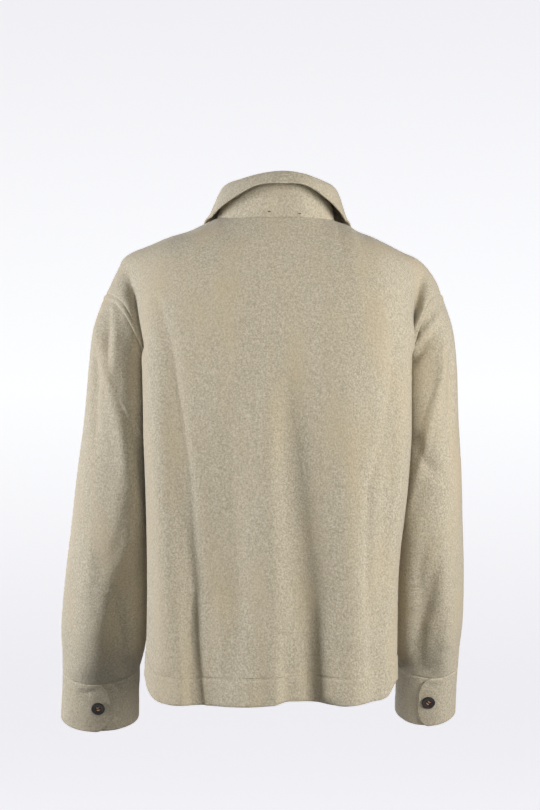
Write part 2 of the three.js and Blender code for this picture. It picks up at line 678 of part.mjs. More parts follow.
// The middle of the sleeve at a place counted in sections
function axisPoint(rings, along) {
  const place = clamp(along - 1, 0, rings.length - 1);
  const i = Math.min(Math.floor(place), rings.length - 2);
  return middleOf(rings[i]).lerp(middleOf(rings[i + 1]), place - i);
}

// A cuff: a band that winds once round the wrist and laps over itself, with a rounded tab
function cuffSurface(sign) {
  const seam = sleeveSections[sleeveSections.length - 1];
  const rows = [seam, cuffEdge];
  const top = sleeveRing(sign, rows, 0);
  const low = sleeveRing(sign, rows, 1);
  const startTurn = cuffTabEnd - cuffOverlap;
  const down = low(0.25).sub(top(0.25)).setLength(cuffSeamGap);
  return (turn, drop) => {
    const wrapped = ((turn % 1) + 1) % 1;
    const point = top(wrapped).add(down).lerp(low(wrapped), drop);
    const middle = middleOf(top).lerp(middleOf(low), drop);
    const out = point.clone().sub(middle).normalize();
    const wound = (turn - startTurn - cuffOverlap) / (1 - cuffOverlap);
    return point.addScaledVector(out, cuffLayerLift * smooth(wound));
  };
}

function cuffGrids(sign) {
  const surface = cuffSurface(sign);
  const startTurn = cuffTabEnd - cuffOverlap;
  const endTurn = cuffTabEnd + 1;
  const girth = 2 * Math.PI * cuffRadius;
  // Columns come closer together on the rounded end of the tab
  const turns = [];
  const roundShare = cuffTabRounding / girth;
  for (let c = 0; c <= cuffColumns; c++) {
    turns.push(lerp(startTurn, endTurn - roundShare, c / cuffColumns));
  }
  for (let i = 1; i <= cuffTabColumns; i++) {
    turns.push(endTurn - roundShare * (1 - Math.sin((i / cuffTabColumns) * Math.PI * 0.5)));
  }
  const halfHeight = (turn) => {
    const toEnd = clamp((endTurn - turn) / roundShare, 0, 1);
    return 0.5 * lerp(cuffTabBlunt, 1, Math.sqrt(1 - (1 - toEnd) ** 2));
  };
  const outer = [];
  const inner = [];
  for (let r = 0; r <= cuffRows; r++) {
    const outerRow = [];
    const innerRow = [];
    for (const turn of turns) {
      const drop = 0.5 + (1 - (2 * r) / cuffRows) * halfHeight(turn);
      const point = surface(turn, drop);
      const normal = normalOf(surface, turn, drop, 0.004, 0.05, 1);
      const middle = surface(turn, drop).add(surface(turn + 0.5, drop)).multiplyScalar(0.5);
      normal.multiplyScalar(Math.sign(normal.dot(point.clone().sub(middle))));
      outerRow.push(point);
      innerRow.push(point.clone().addScaledVector(normal, -clothThickness));
    }
    outer.push(outerRow);
    inner.push(innerRow);
  }
  return { outer, inner };
}

// The neck seam as a function of the turn from the centre back (0) to the centre front (1)
function neckSeam(sign, turn) {
  const half = turn < 0.5 ? 1 : -1;
  const share = (turn < 0.5 ? turn : 1 - turn) * 2 * neckShare;
  return half > 0 ? torsoSkin(1, sign * share, 2) : liftedFront(sign * share, 2);
}

// The table carried on past the centre back, so that the collar is smooth there
const collarStations = [{ ...collarSections[1], turn: -collarSections[1].turn }, ...collarSections];

// The collar's outside at a turn round the neck, as a function of the way from the neck seam (0) over the
// seam of the stand (1) and the roll (3) to the free edge (5)
function collarSection(sign, turn) {
  const seam = neckSeam(sign, turn);
  const step = 0.02;
  const before = neckSeam(sign, Math.max(turn - step, 0));
  const after = neckSeam(sign, Math.min(turn + step, 1));
  const along = after.sub(before).setZ(0).normalize();
  const out = vec(along.y, -along.x, 0).multiplyScalar(-sign);
  if (turn < step) out.set(0, 1, 0);
  const place = tablePlace(collarStations, 'turn', turn);
  const get = (key) => tableValue(collarStations, key, place);
  const at = (o, u) => {
    const rise = vec(collarTilt * u, 0, 2 * seamGap + u);
    return seam.clone().addScaledVector(out, collarSeamOut + o).add(rise);
  };
  const roll = get('roll');
  const swayed = sign < 0 ? leafSwayRight * Math.exp(-(((turn - swayTurn) / swayWidth) ** 2)) : 0;
  const crownOut = get('rollOut') + swayed;
  const crownUp = get('rollUp');
  const points = [
    at(0, 0),
    at(get('standOut'), get('standUp')),
    at(crownOut + roll * rollBefore.out, crownUp + roll * rollBefore.up),
    at(crownOut, crownUp),
    at(crownOut + roll * rollAfter.out, crownUp + roll * rollAfter.up),
    at(get('edgeOut') + swayed, get('edgeUp')),
  ];
  return new THREE.CatmullRomCurve3(points, false, 'centripetal');
}

// Samples of the torso round the neck, with their normals, for the collar to lie on
const restSamples = [];
function addRestSamples(sideReach, sideStep, lowRise, riseStep) {
  for (const half of [1, -1]) {
    const skin = half > 0 ? (u, v) => torsoSkin(1, u, v) : liftedFront;
    for (let side = -sideReach; side < sideReach + 0.001; side += sideStep) {
      for (let rise = lowRise; rise < 2; rise += riseStep) {
        const normal = normalOf(skin, side, Math.min(rise, 1.985), 0.01, 0.01, -half);
        restSamples.push({ point: skin(side, rise), normal });
      }
    }
  }
}
// Coarse over the shoulders, then fine beside the neck
addRestSamples(0.9, 0.04, 1.3, 0.04);
addRestSamples(0.4, 0.016, 1.8, 0.018);

// A point moved out so that it is at least a clearance off the torso
function restOnTorso(point, clearance) {
  let nearest = restSamples[0];
  for (const sample of restSamples) {
    if (sample.point.distanceToSquared(point) < nearest.point.distanceToSquared(point)) nearest = sample;
  }
  const depth = point.clone().sub(nearest.point).dot(nearest.normal);
  return depth < clearance ? point.addScaledVector(nearest.normal, clearance - depth) : point;
}

// One piece of the collar between two ways up its section, round the whole neck
function collarGrids(fromWay, toWay, rows, topGap) {
  const spans = 5;
  const outer = [];
  const turns = [];
  const endTurn = collarColumns / (collarColumns + 2);
  for (let c = 0; c <= collarColumns; c++) turns.push(lerp(-endTurn, endTurn, c / collarColumns));
  const surface = (turn, way) => {
    const sign = turn < 0 ? -1 : 1;
    const point = collarSection(sign, Math.abs(turn)).getPoint(way / spans);
    return way > 3 ? restOnTorso(point, collarThickness + 1) : point;
  };
  const inner = [];
  for (let r = 0; r <= rows; r++) {
    const way = lerp(fromWay, toWay, r / rows) + (r === 0 ? topGap : 0);
    const outerRow = [];
    const innerRow = [];
    for (const turn of turns) {
      const point = surface(turn, way);
      const safeWay = clamp(way, 0.03, spans - 0.03);
      const safeTurn = clamp(turn, -endTurn + 0.02, endTurn - 0.02);
      const seamWay = r === 0 && fromWay > 0 ? fromWay : safeWay;
      const normal = normalOf(surface, safeTurn, seamWay, 0.01, 0.02, -1);
      if (way === 0) normal.setZ(0).normalize();
      const under = point.clone().addScaledVector(normal, -collarThickness);
      outerRow.push(way === 0 ? restOnTorso(point, standGap) : point);
      innerRow.push(way === 0 ? restOnTorso(under, standGap) : under);
    }
    outer.push(outerRow);
    inner.push(innerRow);
  }
  return { outer, inner };
}

// A sewn-through button with a rim and four holes, its back on the plane z = 0 and its face to +Z
function buttonGeometry() {
  const profile = [
    [0, 0],
    [buttonRadius - buttonEdgeRound, 0],
    [buttonRadius, buttonEdgeRound],
    [buttonRadius, buttonThickness - buttonEdgeRound * 0.7],
    [buttonRadius - buttonEdgeRound * 0.7, buttonThickness],
    [buttonRadius - buttonRimWidth, buttonThickness],
    [buttonRadius - buttonRimWidth - buttonRimSlope, buttonThickness - buttonDish],
    [0, buttonThickness - buttonDish],
  ];
  const disc = new THREE.LatheGeometry(profile.map(([r, z]) => new THREE.Vector2(r, z)), 16);
  disc.rotateX(Math.PI / 2);
  let solid = toManifold(disc);
  for (const [sx, sy] of [[1, 1], [1, -1], [-1, 1], [-1, -1]]) {
    const hole = new THREE.CylinderGeometry(buttonHoleRadius, buttonHoleRadius, buttonThickness * 4, 5);
    hole.rotateX(Math.PI / 2);
    hole.translate(sx * buttonHoleOffset, sy * buttonHoleOffset, 0);
    solid = solid.subtract(toManifold(hole));
  }
  return fromManifold(solid);
}

function toManifold(geometry) {
  const bare = geometry.clone();
  bare.deleteAttribute('normal');
  bare.deleteAttribute('uv');
  const merged = mergeVertices(bare, 1e-4);
  const solid = new wasm.Manifold(
    new wasm.Mesh({
      numProp: 3,
      vertProperties: new Float32Array(merged.attributes.position.array),
      triVerts: new Uint32Array(merged.index.array),
    }),
  );
  return solid;
}

function fromManifold(solid) {
  const mesh = solid.getMesh();
  const geometry = new THREE.BufferGeometry();
  geometry.setAttribute('position', new THREE.Float32BufferAttribute(mesh.vertProperties, 3));
  geometry.setIndex(new THREE.BufferAttribute(mesh.triVerts, 1));
  geometry.computeVertexNormals();
  return geometry;
}

// Materials
const wool = new THREE.MeshStandardMaterial({ color: 0xb9ae98, roughness: 0.95, metalness: 0 });
const horn = new THREE.MeshStandardMaterial({ color: 0x2b2322, roughness: 0.35, metalness: 0 });

const jacket = new THREE.Group();

function addWall(name, grids, closed = false) {
  const mesh = new THREE.Mesh(wallGeometry(grids.outer, grids.inner, closed), wool);
  mesh.name = name;
  jacket.add(mesh);
}

function addButton(name, point, normal) {
  const mesh = new THREE.Mesh(buttonGeometry(), horn);
  mesh.name = name;
  mesh.position.copy(point).addScaledVector(normal, seamGap);
  mesh.quaternion.setFromUnitVectors(vec(0, 0, 1), normal);
  jacket.add(mesh);
}

const halfSides = Array.from({ length: torsoColumns / 2 }, (_, i) => (i + 1) / (torsoColumns / 2));
const mirrored = (sides) => sides.map((side) => -side).reverse();
const leftSides = (rise) => [-overlapShare(rise), -overlapShare(rise) / 2, 0, ...halfSides];
const backSkin = (side, rise) => torsoSkin(1, side, rise);
const frontSkin = (side, rise) => torsoSkin(-1, side, rise);
addWall('back', torsoPanel(1, () => [...mirrored(halfSides), 0, ...halfSides], backSkin));
addWall('front_left', torsoPanel(-1, leftSides, liftedFront));
addWall('front_right', torsoPanel(-1, (rise) => mirrored(leftSides(rise)), frontSkin));
for (const [side, sign] of [['left', 1], ['right', -1]]) {
  addWall(`sleeve_${side}`, sleeveGrids(sign), true);
  addWall(`cuff_${side}`, cuffGrids(sign));
  const cuff = cuffSurface(sign);
  const turn = cuffButtonRound + 1;
  const normal = normalOf(cuff, turn, cuffButtonDrop, 0.01, 0.05, 1);
  if (normal.y < 0) normal.negate();
  addButton(`button_cuff_${side}`, cuff(turn, cuffButtonDrop), normal);
}
addWall('collar_stand', collarGrids(0, 1, 2, 0));
addWall('collar_leaf', collarGrids(1, 5, 8, leafSeamWay));

// Front buttons stand on the left front at the centre line
for (let i = 0; i < frontButtonCount; i++) {
  const z = frontButtonTopZ - i * frontButtonPitch;
  let low = 0;
  let high = 2;
  for (let step = 0; step < 40; step++) {
    const middle = (low + high) / 2;
    if (torsoSkin(-1, 0, middle).z < z) low = middle;
    else high = middle;
  }
  const point = liftedFront(0, low);
  addButton(`button_front_${i + 1}`, point, normalOf(liftedFront, 0, low, 0.01, 0.01, 1));
}

export default jacket;
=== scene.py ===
import math

import bpy
import numpy as np
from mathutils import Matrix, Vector, kdtree, noise


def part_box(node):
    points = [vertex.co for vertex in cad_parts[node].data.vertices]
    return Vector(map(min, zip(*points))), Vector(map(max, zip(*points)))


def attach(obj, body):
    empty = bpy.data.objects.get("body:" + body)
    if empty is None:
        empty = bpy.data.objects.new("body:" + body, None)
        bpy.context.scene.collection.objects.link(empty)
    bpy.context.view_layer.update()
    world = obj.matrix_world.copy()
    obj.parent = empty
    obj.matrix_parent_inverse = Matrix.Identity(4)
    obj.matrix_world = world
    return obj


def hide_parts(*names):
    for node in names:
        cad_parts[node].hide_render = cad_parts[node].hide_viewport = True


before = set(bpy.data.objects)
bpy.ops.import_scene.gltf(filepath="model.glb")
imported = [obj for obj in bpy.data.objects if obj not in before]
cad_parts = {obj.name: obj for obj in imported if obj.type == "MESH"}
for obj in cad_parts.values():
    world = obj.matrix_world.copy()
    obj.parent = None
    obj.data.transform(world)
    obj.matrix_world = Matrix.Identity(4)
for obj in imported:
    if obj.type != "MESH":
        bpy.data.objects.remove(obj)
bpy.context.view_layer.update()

mm = 0.001  # the tables below are in millimetres, Blender's mesh in metres

# Cloth and making, as in the part's source
cloth = {
    "thickness": 2.6,
    "seamGap": 0.3,
    "layerLift": 3.1,
    "hemTurnUp": 37,
    "hemStep": 0.7,
    "frontOverlap": 17,
    "overlapFlat": 4,
    "overlapBlend": 34,
    "armholeGap": -0.4,  # the sewn seam closes the gap that the solids keep
    "armholeDepth": 58,
}
armpitZ = -318
torsoFootZ = -690
lowHeight = armpitZ - torsoFootZ
# The neckline takes up a share of each half's top edge, and its middle leans to the jacket's right
neck = {
    "halfWidth": 82, "backY": 78, "frontY": -90, "backZ": -4, "frontDrop": 75, "pointZ": {"left": -2, "right": -6},
    "share": 1 / 3, "round": 0.92, "frontSink": 1.95, "turnBack": 62, "turnFront": 56,
    "lean": -9.5, "leanWidth": 130, "leanFootZ": -420, "leanHeight": 300,
}


def table(keys, *rows):
    return [dict(zip(keys.split(), row)) for row in rows]


torsoSections = table(
    "z back front ridgeLeft ridgeRight ridgeY sideLeft sideRight",
    (torsoFootZ, 133, 126, 186, 175, 72, 174, 164),
    (-600, 137, 132, 180, 175, 75, 167, 162),
    (-500, 142, 138, 178, 177, 80, 164, 162),
    (-400, 147, 142, 179, 188, 84, 165, 173),
    (armpitZ, 150, 144, 182, 194, 86, 169, 180),
)
# The hem, by share of a half from the centre (0) to the side seam (1)
hemLine = table(
    "share left right",
    (0, -691, -691), (0.1, -693, -687), (0.25, -693, -690), (0.36, -692, -693), (0.5, -692, -689),
    (0.6, -687, -684), (0.67, -674, -668), (0.75, -655, -661), (1, -650, -655),
)
shoulderLine = table(
    "left right z",
    (104, 104, -13), (120, 117, -21), (150, 140, -30), (180, 165, -42), (206, 186, -52),
    (219, 207, -61), (225, 221, -73), (235, 235, -93), (248, 246, -120),
)
# A fold runs from its top to its low end. height is how far it stands out there, negative for a trough.
foldKeys = "topX topZ lowX lowZ width topHeight height"
backFolds = table(
    foldKeys,
    (174, -110, 128, -690, 30, 3, 10),
    (158, -140, 99, -690, 17, -3, -15),
    (72, -300, 62, -540, 26, -3, -5),
    (44, -560, 46, -720, 32, 0, 9),
    (9, -220, -2, -720, 17, 3, 8),
    (-12, -215, -64, -720, 24, -3, -18),
    (-100, -190, -104, -720, 34, 4, 8),
    (-172, -180, -140, -720, 15, -3, -6),
)
frontFolds = table(
    foldKeys,
    (168, -150, 120, -700, 26, 3, 8),
    (128, -250, 88, -700, 18, -2, -9),
    (62, -330, 52, -720, 24, 1, 6),
    (-60, -300, -56, -720, 22, 1, 7),
    (-112, -240, -92, -700, 18, -2, -10),
    (-164, -160, -124, -700, 26, 3, 8),
)
foldFade = 46
foldEnds = {"side": (0.86, 0.14), "rise": (1.6, 0.4)}  # where the folds start to fade out, and over how much


def smooth(value):
    value = np.clip(value, 0, 1)
    return value * value * (3 - 2 * value)


# Smoothly from 0 at the start to 1 after the span
def ramp(value, start, span):
    return smooth((value - start) / span)


def lerp(a, b, share):
    return a + (b - a) * share


# A soft groove or ridge: 1 on its line and fading out beside it
def groove(distance, width):
    return np.exp(-((distance / width) ** 2))


# The row below each place in a table of so many rows, and the share of the way to the next row
def splitPlace(place, rows):
    place = np.clip(np.asarray(place, float), 0, rows - 1)
    row = np.minimum(place.astype(int), rows - 2)
    return row, place - row


# Catmull-Rom value between b and c
def cubicBetween(a, b, c, d, share):
    cubic = -0.5 * a + 1.5 * b - 1.5 * c + 0.5 * d
    square = a - 2.5 * b + 2 * c - 0.5 * d
    return ((cubic * share + square) * share + 0.5 * (c - a)) * share + b


# Smooth value of one column of a table at places counted in rows
def tableValue(rows, key, place):
    values = np.array([row[key] for row in rows], float)
    padded = np.concatenate([values[:1], values, values[-1:]])
    i, share = splitPlace(place, len(rows))
    return cubicBetween(*(padded[i + k] for k in range(4)), share)


# The place where a column reaches a value, found among dense samples
def tablePlace(rows, key, value):
    dense = np.linspace(0, len(rows) - 1, 2001)
    return np.interp(value, tableValue(rows, key, dense), dense)


# Points of a centripetal Catmull-Rom curve at places from 0 to 1
def curvePoints(points, closed, at):
    points = np.asarray(points, float)
    spans = len(points) if closed else len(points) - 1
    if closed:
        padded = np.vstack([points[-1:], points, points[:2]])
    else:
        padded = np.vstack([2 * points[0] - points[1], points, 2 * points[-1] - points[-2]])
    i, f = splitPlace(np.clip(at, 0, 1) * spans, spans + 1)
    f = f[:, None]
    a, b, c, d = (padded[i + k] for k in range(4))
    before, middle, after = (
        np.sqrt(np.linalg.norm(q - p, axis=1))[:, None] + 1e-9 for p, q in ((a, b), (b, c), (c, d)))
    startWay = ((b - a) / before - (c - a) / (before + middle) + (c - b) / middle) * middle
    endWay = ((c - b) / middle - (d - b) / (middle + after) + (d - c) / after) * middle
    cubic = 2 * b - 2 * c + startWay + endWay
    square = -3 * b + 3 * c - 2 * startWay - endWay
    return ((cubic * f + square) * f + startWay) * f + b


# Length from the first point of a line to each of its points
def lengths(line):
    return np.concatenate([[0], np.cumsum(np.linalg.norm(np.diff(line, axis=0), axis=1))])


walkSteps = 400


# The same curve walked evenly by length, as a table of points
def walked(points, closed, start, end, steps=walkSteps):
    line = curvePoints(points, closed, np.linspace(start, end, 4 * (steps + 1)))
    length = lengths(line)
    even = np.linspace(0, length[-1], steps + 1)
    return np.stack([np.interp(even, length, line[:, k]) for k in range(3)], axis=1)


# Torso walls. half is 1 for the back and -1 for the front; side runs from the right seam (-1) to the left one (1),
# rise from the hem (0) over the armpit (1) to the neck and shoulder seam (2).
sectionHeights = np.linspace(-700, armpitZ, 96)
# Points of a section as (share of the ridge's width, share of the depth): the turn at the side and the flat of the
# back or front. The front's ridge is set in by the last pair of shares.
torsoRound = {"turn": (0.88, 0.6), "flat": (0.55, 0.965), "frontRidge": (0.93, 0.95)}


def torsoLoop(z):
    place = tablePlace(torsoSections, "z", z)
    size = {key: float(tableValue(torsoSections, key, place)) for key in torsoSections[0]}
    (turnX, turnDepth), (flatX, flatDepth) = torsoRound["turn"], torsoRound["flat"]

    def quarter(depth, arm, half, ridgeShares=(1, 1)):
        sign = 1 if arm == "Left" else -1
        ridge, ridgeY = size["ridge" + arm] * ridgeShares[0], size["ridgeY"] * ridgeShares[1]
        return [
            (sign * size["side" + arm], 0, z),
            (sign * ridge, half * ridgeY, z),
            (sign * ridge * turnX, half * lerp(ridgeY, depth, turnDepth), z),
            (sign * ridge * flatX, half * depth * flatDepth, z),
            (0, half * depth, z),
        ]

    backLeft, backRight = (quarter(size["back"], arm, 1) for arm in ("Left", "Right"))
    frontRight, frontLeft = (quarter(size["front"], arm, -1, torsoRound["frontRidge"]) for arm in ("Right", "Left"))
    return backLeft + backRight[::-1][1:] + frontRight[1:] + frontLeft[::-1][1:-1]


# A loop's 16 points start at the left side seam and go over the back: where each quarter starts and ends
loops = [torsoLoop(z) for z in sectionHeights]
quarterSpans = {(1, 1): (4, 0), (1, -1): (4, 8), (-1, 1): (12, 16), (-1, -1): (12, 8)}
quarterWalks = {
    key: np.stack([walked(loop, True, start / 16, end / 16) for loop in loops])
    for key, (start, end) in quarterSpans.items()
}


def upperEdge(half, arm):
    turn = np.linspace(0, math.pi / 2, 7)
    point = neck["pointZ"]
    frontZ = (point["left"] + point["right"]) / 2 - neck["frontDrop"]
    sink = np.cos(turn) if half > 0 else np.cos(turn) ** neck["frontSink"]
    line = np.stack([
        neck["halfWidth"] * np.sin(turn) ** neck["round"],
        (neck["backY"] if half > 0 else neck["frontY"]) * np.clip(np.cos(turn), 0, 1) ** neck["round"],
        lerp(point[arm], neck["backZ"] if half > 0 else frontZ, sink),
    ], axis=1)
    before = line[1] * (-1, 1, 1)
    neckWalk = walked(np.vstack([before, line]), False, 1 / 7, 1)
    shoulder = [line[-1]] + [(row[arm], 0, row["z"]) for row in shoulderLine]
    return np.vstack([neckWalk[:-1], walked(shoulder, False, 0, 1, 2 * walkSteps)])


upperEdges = {(half, arm): upperEdge(half, arm) for half in (1, -1) for arm in ("left", "right")}


def readTable(values, place):
    i, f = splitPlace(place, len(values))
    f = f[..., None]
    return values[i] * (1 - f) + values[i + 1] * f


# The turn of the cloth over the chest and shoulders. A power of 2 is round and a higher one squarer: the first is at
# the middle, the second from squareShare outwards.
upperTurn = {"powers": (2.1, 2.9), "squareShare": 0.55, "inwards": 1.24, "armhole": (0.8, 0.2)}


def torsoBase(half, side, rise):
    side, rise = np.broadcast_arrays(np.asarray(side, float), np.asarray(rise, float))
    share = np.abs(side)
    result = np.zeros(side.shape + (3,))
    for sign, arm in ((1, "left"), (-1, "right")):
        here = (side >= 0) if sign > 0 else (side < 0)
        if not here.any():
            continue
        s, r = share[here], rise[here]
        hem = tableValue(hemLine, arm, tablePlace(hemLine, "share", s))
        z = lerp(hem, armpitZ, np.minimum(r, 1))
        place = (z - sectionHeights[0]) / (sectionHeights[1] - sectionHeights[0])
        i, f = splitPlace(place, len(sectionHeights))
        j, g = splitPlace(np.clip(s, 0, 1) * walkSteps, walkSteps + 1)
        f, g = f[:, None], g[:, None]
        walk = quarterWalks[half, sign]
        lower, upper = lerp(walk[i, j], walk[i, j + 1], g), lerp(walk[i + 1, j], walk[i + 1, j + 1], g)
        low = lerp(lower, upper, f)
        low[:, 2] = z
        overNeck = s / neck["share"] * walkSteps
        overShoulder = walkSteps + (s - neck["share"]) / (1 - neck["share"]) * (2 * walkSteps)
        top = readTable(upperEdges[half, arm], np.where(s < neck["share"], overNeck, overShoulder))
        top[:, 0] *= sign
        climb = np.clip(r - 1, 0, 1)
        turn = neck["turnBack"] if half > 0 else neck["turnFront"]
        fullTurn = np.radians(lerp(turn, 90, smooth(s / neck["share"])))
        power = 2 / lerp(*upperTurn["powers"], smooth(s / upperTurn["squareShare"]))
        cosine = lambda angle: np.maximum(np.cos(angle), 0) ** power
        sine = lambda angle: np.sin(angle) ** power
        across = (cosine(climb * fullTurn) - cosine(fullTurn)) / (1 - cosine(fullTurn))
        up = sine(climb * fullTurn) / sine(fullTurn)
        armhole = ramp(s, *upperTurn["armhole"]) * cloth["armholeDepth"] * 4 * climb * (1 - climb)
        high = np.stack([
            lerp(low[:, 0], top[:, 0], climb ** upperTurn["inwards"]),
            top[:, 1] + (low[:, 1] - top[:, 1]) * across + half * armhole,
            lerp(low[:, 2], top[:, 2], up),
        ], axis=1)
        result[here] = np.where((r <= 1)[:, None], low, high)
    return result


def foldHeight(folds, x, z):
    height = np.zeros_like(x)
    for fold in folds:
        down = (fold["topZ"] - z) / (fold["topZ"] - fold["lowZ"])
        middle = lerp(fold["topX"], fold["lowX"], np.clip(down, 0, 1.1))
        before = smooth((fold["topZ"] + foldFade - z) / (2 * foldFade))
        after = 1 - smooth(np.maximum(fold["lowZ"] - z, 0) / foldFade)
        tall = lerp(fold["topHeight"], fold["height"], np.clip(down, 0, 1))
        height += tall * before * after * groove(x - middle, fold["width"])
    return height


def unit(v):
    return v / np.maximum(np.linalg.norm(v, axis=-1, keepdims=True), 1e-12)


# Turns normals round where they point against a direction
def facing(normal, away):
    side = np.sign((normal * away).sum(axis=-1, keepdims=True))
    return normal * np.where(side == 0, 1, side)


def normalOf(surface, u, v, du, dv, sign):
    across = surface(u + du, v) - surface(u - du, v)
    return unit(sign * np.cross(across, surface(u, v + dv) - surface(u, v - dv)))


hemShare = cloth["hemTurnUp"] / lowHeight
topRise = 1.985  # normals are taken no higher than this, just short of the top edge


def torsoSkin(half, side, rise):
    base = torsoBase(half, side, rise)
    surface = lambda u, v: torsoBase(half, np.clip(u, -1, 1), v)
    normal = normalOf(surface, np.clip(side, -0.99, 0.99), np.clip(rise, 0.002, topRise), 0.008, 0.012, -half)
    folds = foldHeight(backFolds if half > 0 else frontFolds, base[..., 0], base[..., 2])
    folds *= 1 - ramp(np.abs(side), *foldEnds["side"])
    folds *= 1 - ramp(rise, *foldEnds["rise"])
    hem = cloth["hemStep"] * (1 - ramp(rise, hemShare, 0.004))
    base = base + normal * (folds + hem)[..., None]
    middle = 1 - smooth(np.abs(base[..., 0]) / neck["leanWidth"])
    base[..., 0] += neck["lean"] * middle * ramp(base[..., 2], neck["leanFootZ"], neck["leanHeight"])
    return base


def liftedFront(side, rise):
    point = torsoSkin(-1, side, rise)
    reach = cloth["frontOverlap"] + cloth["overlapFlat"]
    away = 1 - ramp(np.abs(point[..., 0]), reach, cloth["overlapBlend"])
    surface = lambda u, v: torsoBase(-1, u, v)
    normal = normalOf(surface, side, np.clip(rise, 0.012, topRise), 0.008, 0.012, 1)
    return point + normal * (cloth["layerLift"] * away)[..., None]


# The armhole of one side as points, panel normals and directions away from the panel, from the shoulder tip over
# the back to the armpit and up the front
def armhole(sign, count=160):
    result = {"point": [], "normal": [], "away": []}
    for half, rise in ((1, 2 - np.arange(count + 1) / count), (-1, 1 + np.arange(1, count) / count)):
        skin = lambda u, v: torsoSkin(half, u, v)
        side = np.full(rise.shape, sign * 0.9999)
        safeRise = np.clip(rise, 1.01, topRise)
        normal = normalOf(skin, side * 0.99, safeRise, 0.006, 0.008, -half)
        edge = skin(side, np.minimum(safeRise + 0.01, 2)) - skin(side, safeRise - 0.01)
        away = unit(np.cross(normal, edge))
        outwards = skin(side, safeRise) - skin(side * 0.93, safeRise)
        away[(away * outwards).sum(axis=1) < 0] *= -1
        atArmpit = rise < 1.02
        away[atArmpit] = (0, 0, 1)
        normal[atArmpit] = (sign, 0, 0)
        result["point"].append(skin(np.full(rise.shape, float(sign)), rise))
        result["normal"].append(normal)
        result["away"].append(away)
    return {key: np.vstack(parts) for key, parts in result.items()}


# Sleeves: sections below the armhole, as in the part's source
sleeveSections = table(
    "outerX outerZ clear innerZ mid depth tilt",
    (258, -160, 7, -331, 0, 66, 0),
    (265, -215, 8, -352, -4, 72, 0),
    (270, -290, 8, -388, -9, 77, 4),
    (278, -370, 8, -440, -14, 78, 8),
    (284, -445, 12, -495, -24, 76, 13),
    (291, -520, 13, -555, -43, 70, 18),
    (295, -598, 15, -618, -68, 61, 22),
    (291, -660, 22, -657, -93, 50, 24),
)
cuffEdge = dict(outerX=293, outerZ=-733, clear=20, innerZ=-733, mid=-121, depth=46, tilt=24)
# How each arm hangs, 1 for the left and -1 for the right: how far it swings out below startZ, stands out above the
# wrist, and is lifted. The inside of the arm follows the swing by innerShare.
armHang = {
    "swing": {1: 16, -1: -17}, "spread": {1: 3, -1: 0}, "lift": {1: -4, -1: 5}, "startZ": -200,
    "swingHeight": 400, "swingPower": 1.3, "liftHeight": 500, "spreadEndZ": -620, "spreadFade": 60,
    "innerShare": 0.35, "innerLeast": -6, "topPower": 2.3,
}
sleeveFolds = table(
    "topRound topAlong lowRound lowAlong width height",
    (0.12, 1.4, 0.15, 3.0, 0.035, -5),
    (0.2, 1.3, 0.36, 4.0, 0.035, 4),
    (0.3, 5.2, 0.27, 8.2, 0.05, -8),
    (0.2, 5.0, 0.17, 8.2, 0.05, 4),
    (0.7, 3.6, 0.8, 5.4, 0.05, -6),
    (0.76, 5.4, 0.7, 8.0, 0.05, 5),
)
sleeveFoldEnds = {"start": (-0.3, 0.5), "end": (0.8, 0.5)}  # as shares of the fold's own length
lastStation = len(sleeveSections) - 1


def sleeveRing(sign, rows, place):
    hang = armHang
    size = {key: float(tableValue(rows, key, place)) for key in rows[0]}
    rowsBelow = 0 if rows is sleeveSections else lastStation
    lifted = lambda z: z + hang["lift"][sign] * smooth((hang["startZ"] - z) / hang["liftHeight"])
    swung = lambda z: hang["swing"][sign] * (max(hang["startZ"] - z, 0) / hang["swingHeight"]) ** hang["swingPower"]
    outerZ, innerZ = size["outerZ"], size["innerZ"]
    sideKey = "sideLeft" if sign > 0 else "sideRight"
    torsoSide = float(tableValue(torsoSections, sideKey, tablePlace(torsoSections, "z", innerZ)))
    spread = hang["spread"][sign] * (1 - smooth((hang["spreadEndZ"] - outerZ) / hang["spreadFade"]))
    outer = np.array([sign * (size["outerX"] + swung(outerZ) + spread), size["mid"], lifted(outerZ)])
    inwards = max(swung(innerZ), hang["innerLeast"]) * hang["innerShare"]
    inner = np.array([sign * (torsoSide + size["clear"] + inwards), size["mid"], lifted(innerZ)])
    centre, half = (outer + inner) / 2, (outer - inner) / 2
    tilt = math.radians(size["tilt"])
    deep = np.array([0, math.cos(tilt), -math.sin(tilt)]) * size["depth"]
    power = 2 / lerp(hang["topPower"], 2, smooth((place + rowsBelow) / lastStation))
    wave = lambda value: np.sign(value) * np.abs(value) ** power

    def ring(turn):
        angle = 2 * math.pi * np.asarray(turn, float)
        return centre + half * wave(np.cos(angle))[..., None] + deep * wave(np.sin(angle))[..., None]

    return ring


def wrap(turn):
    return np.mod(turn, 1)


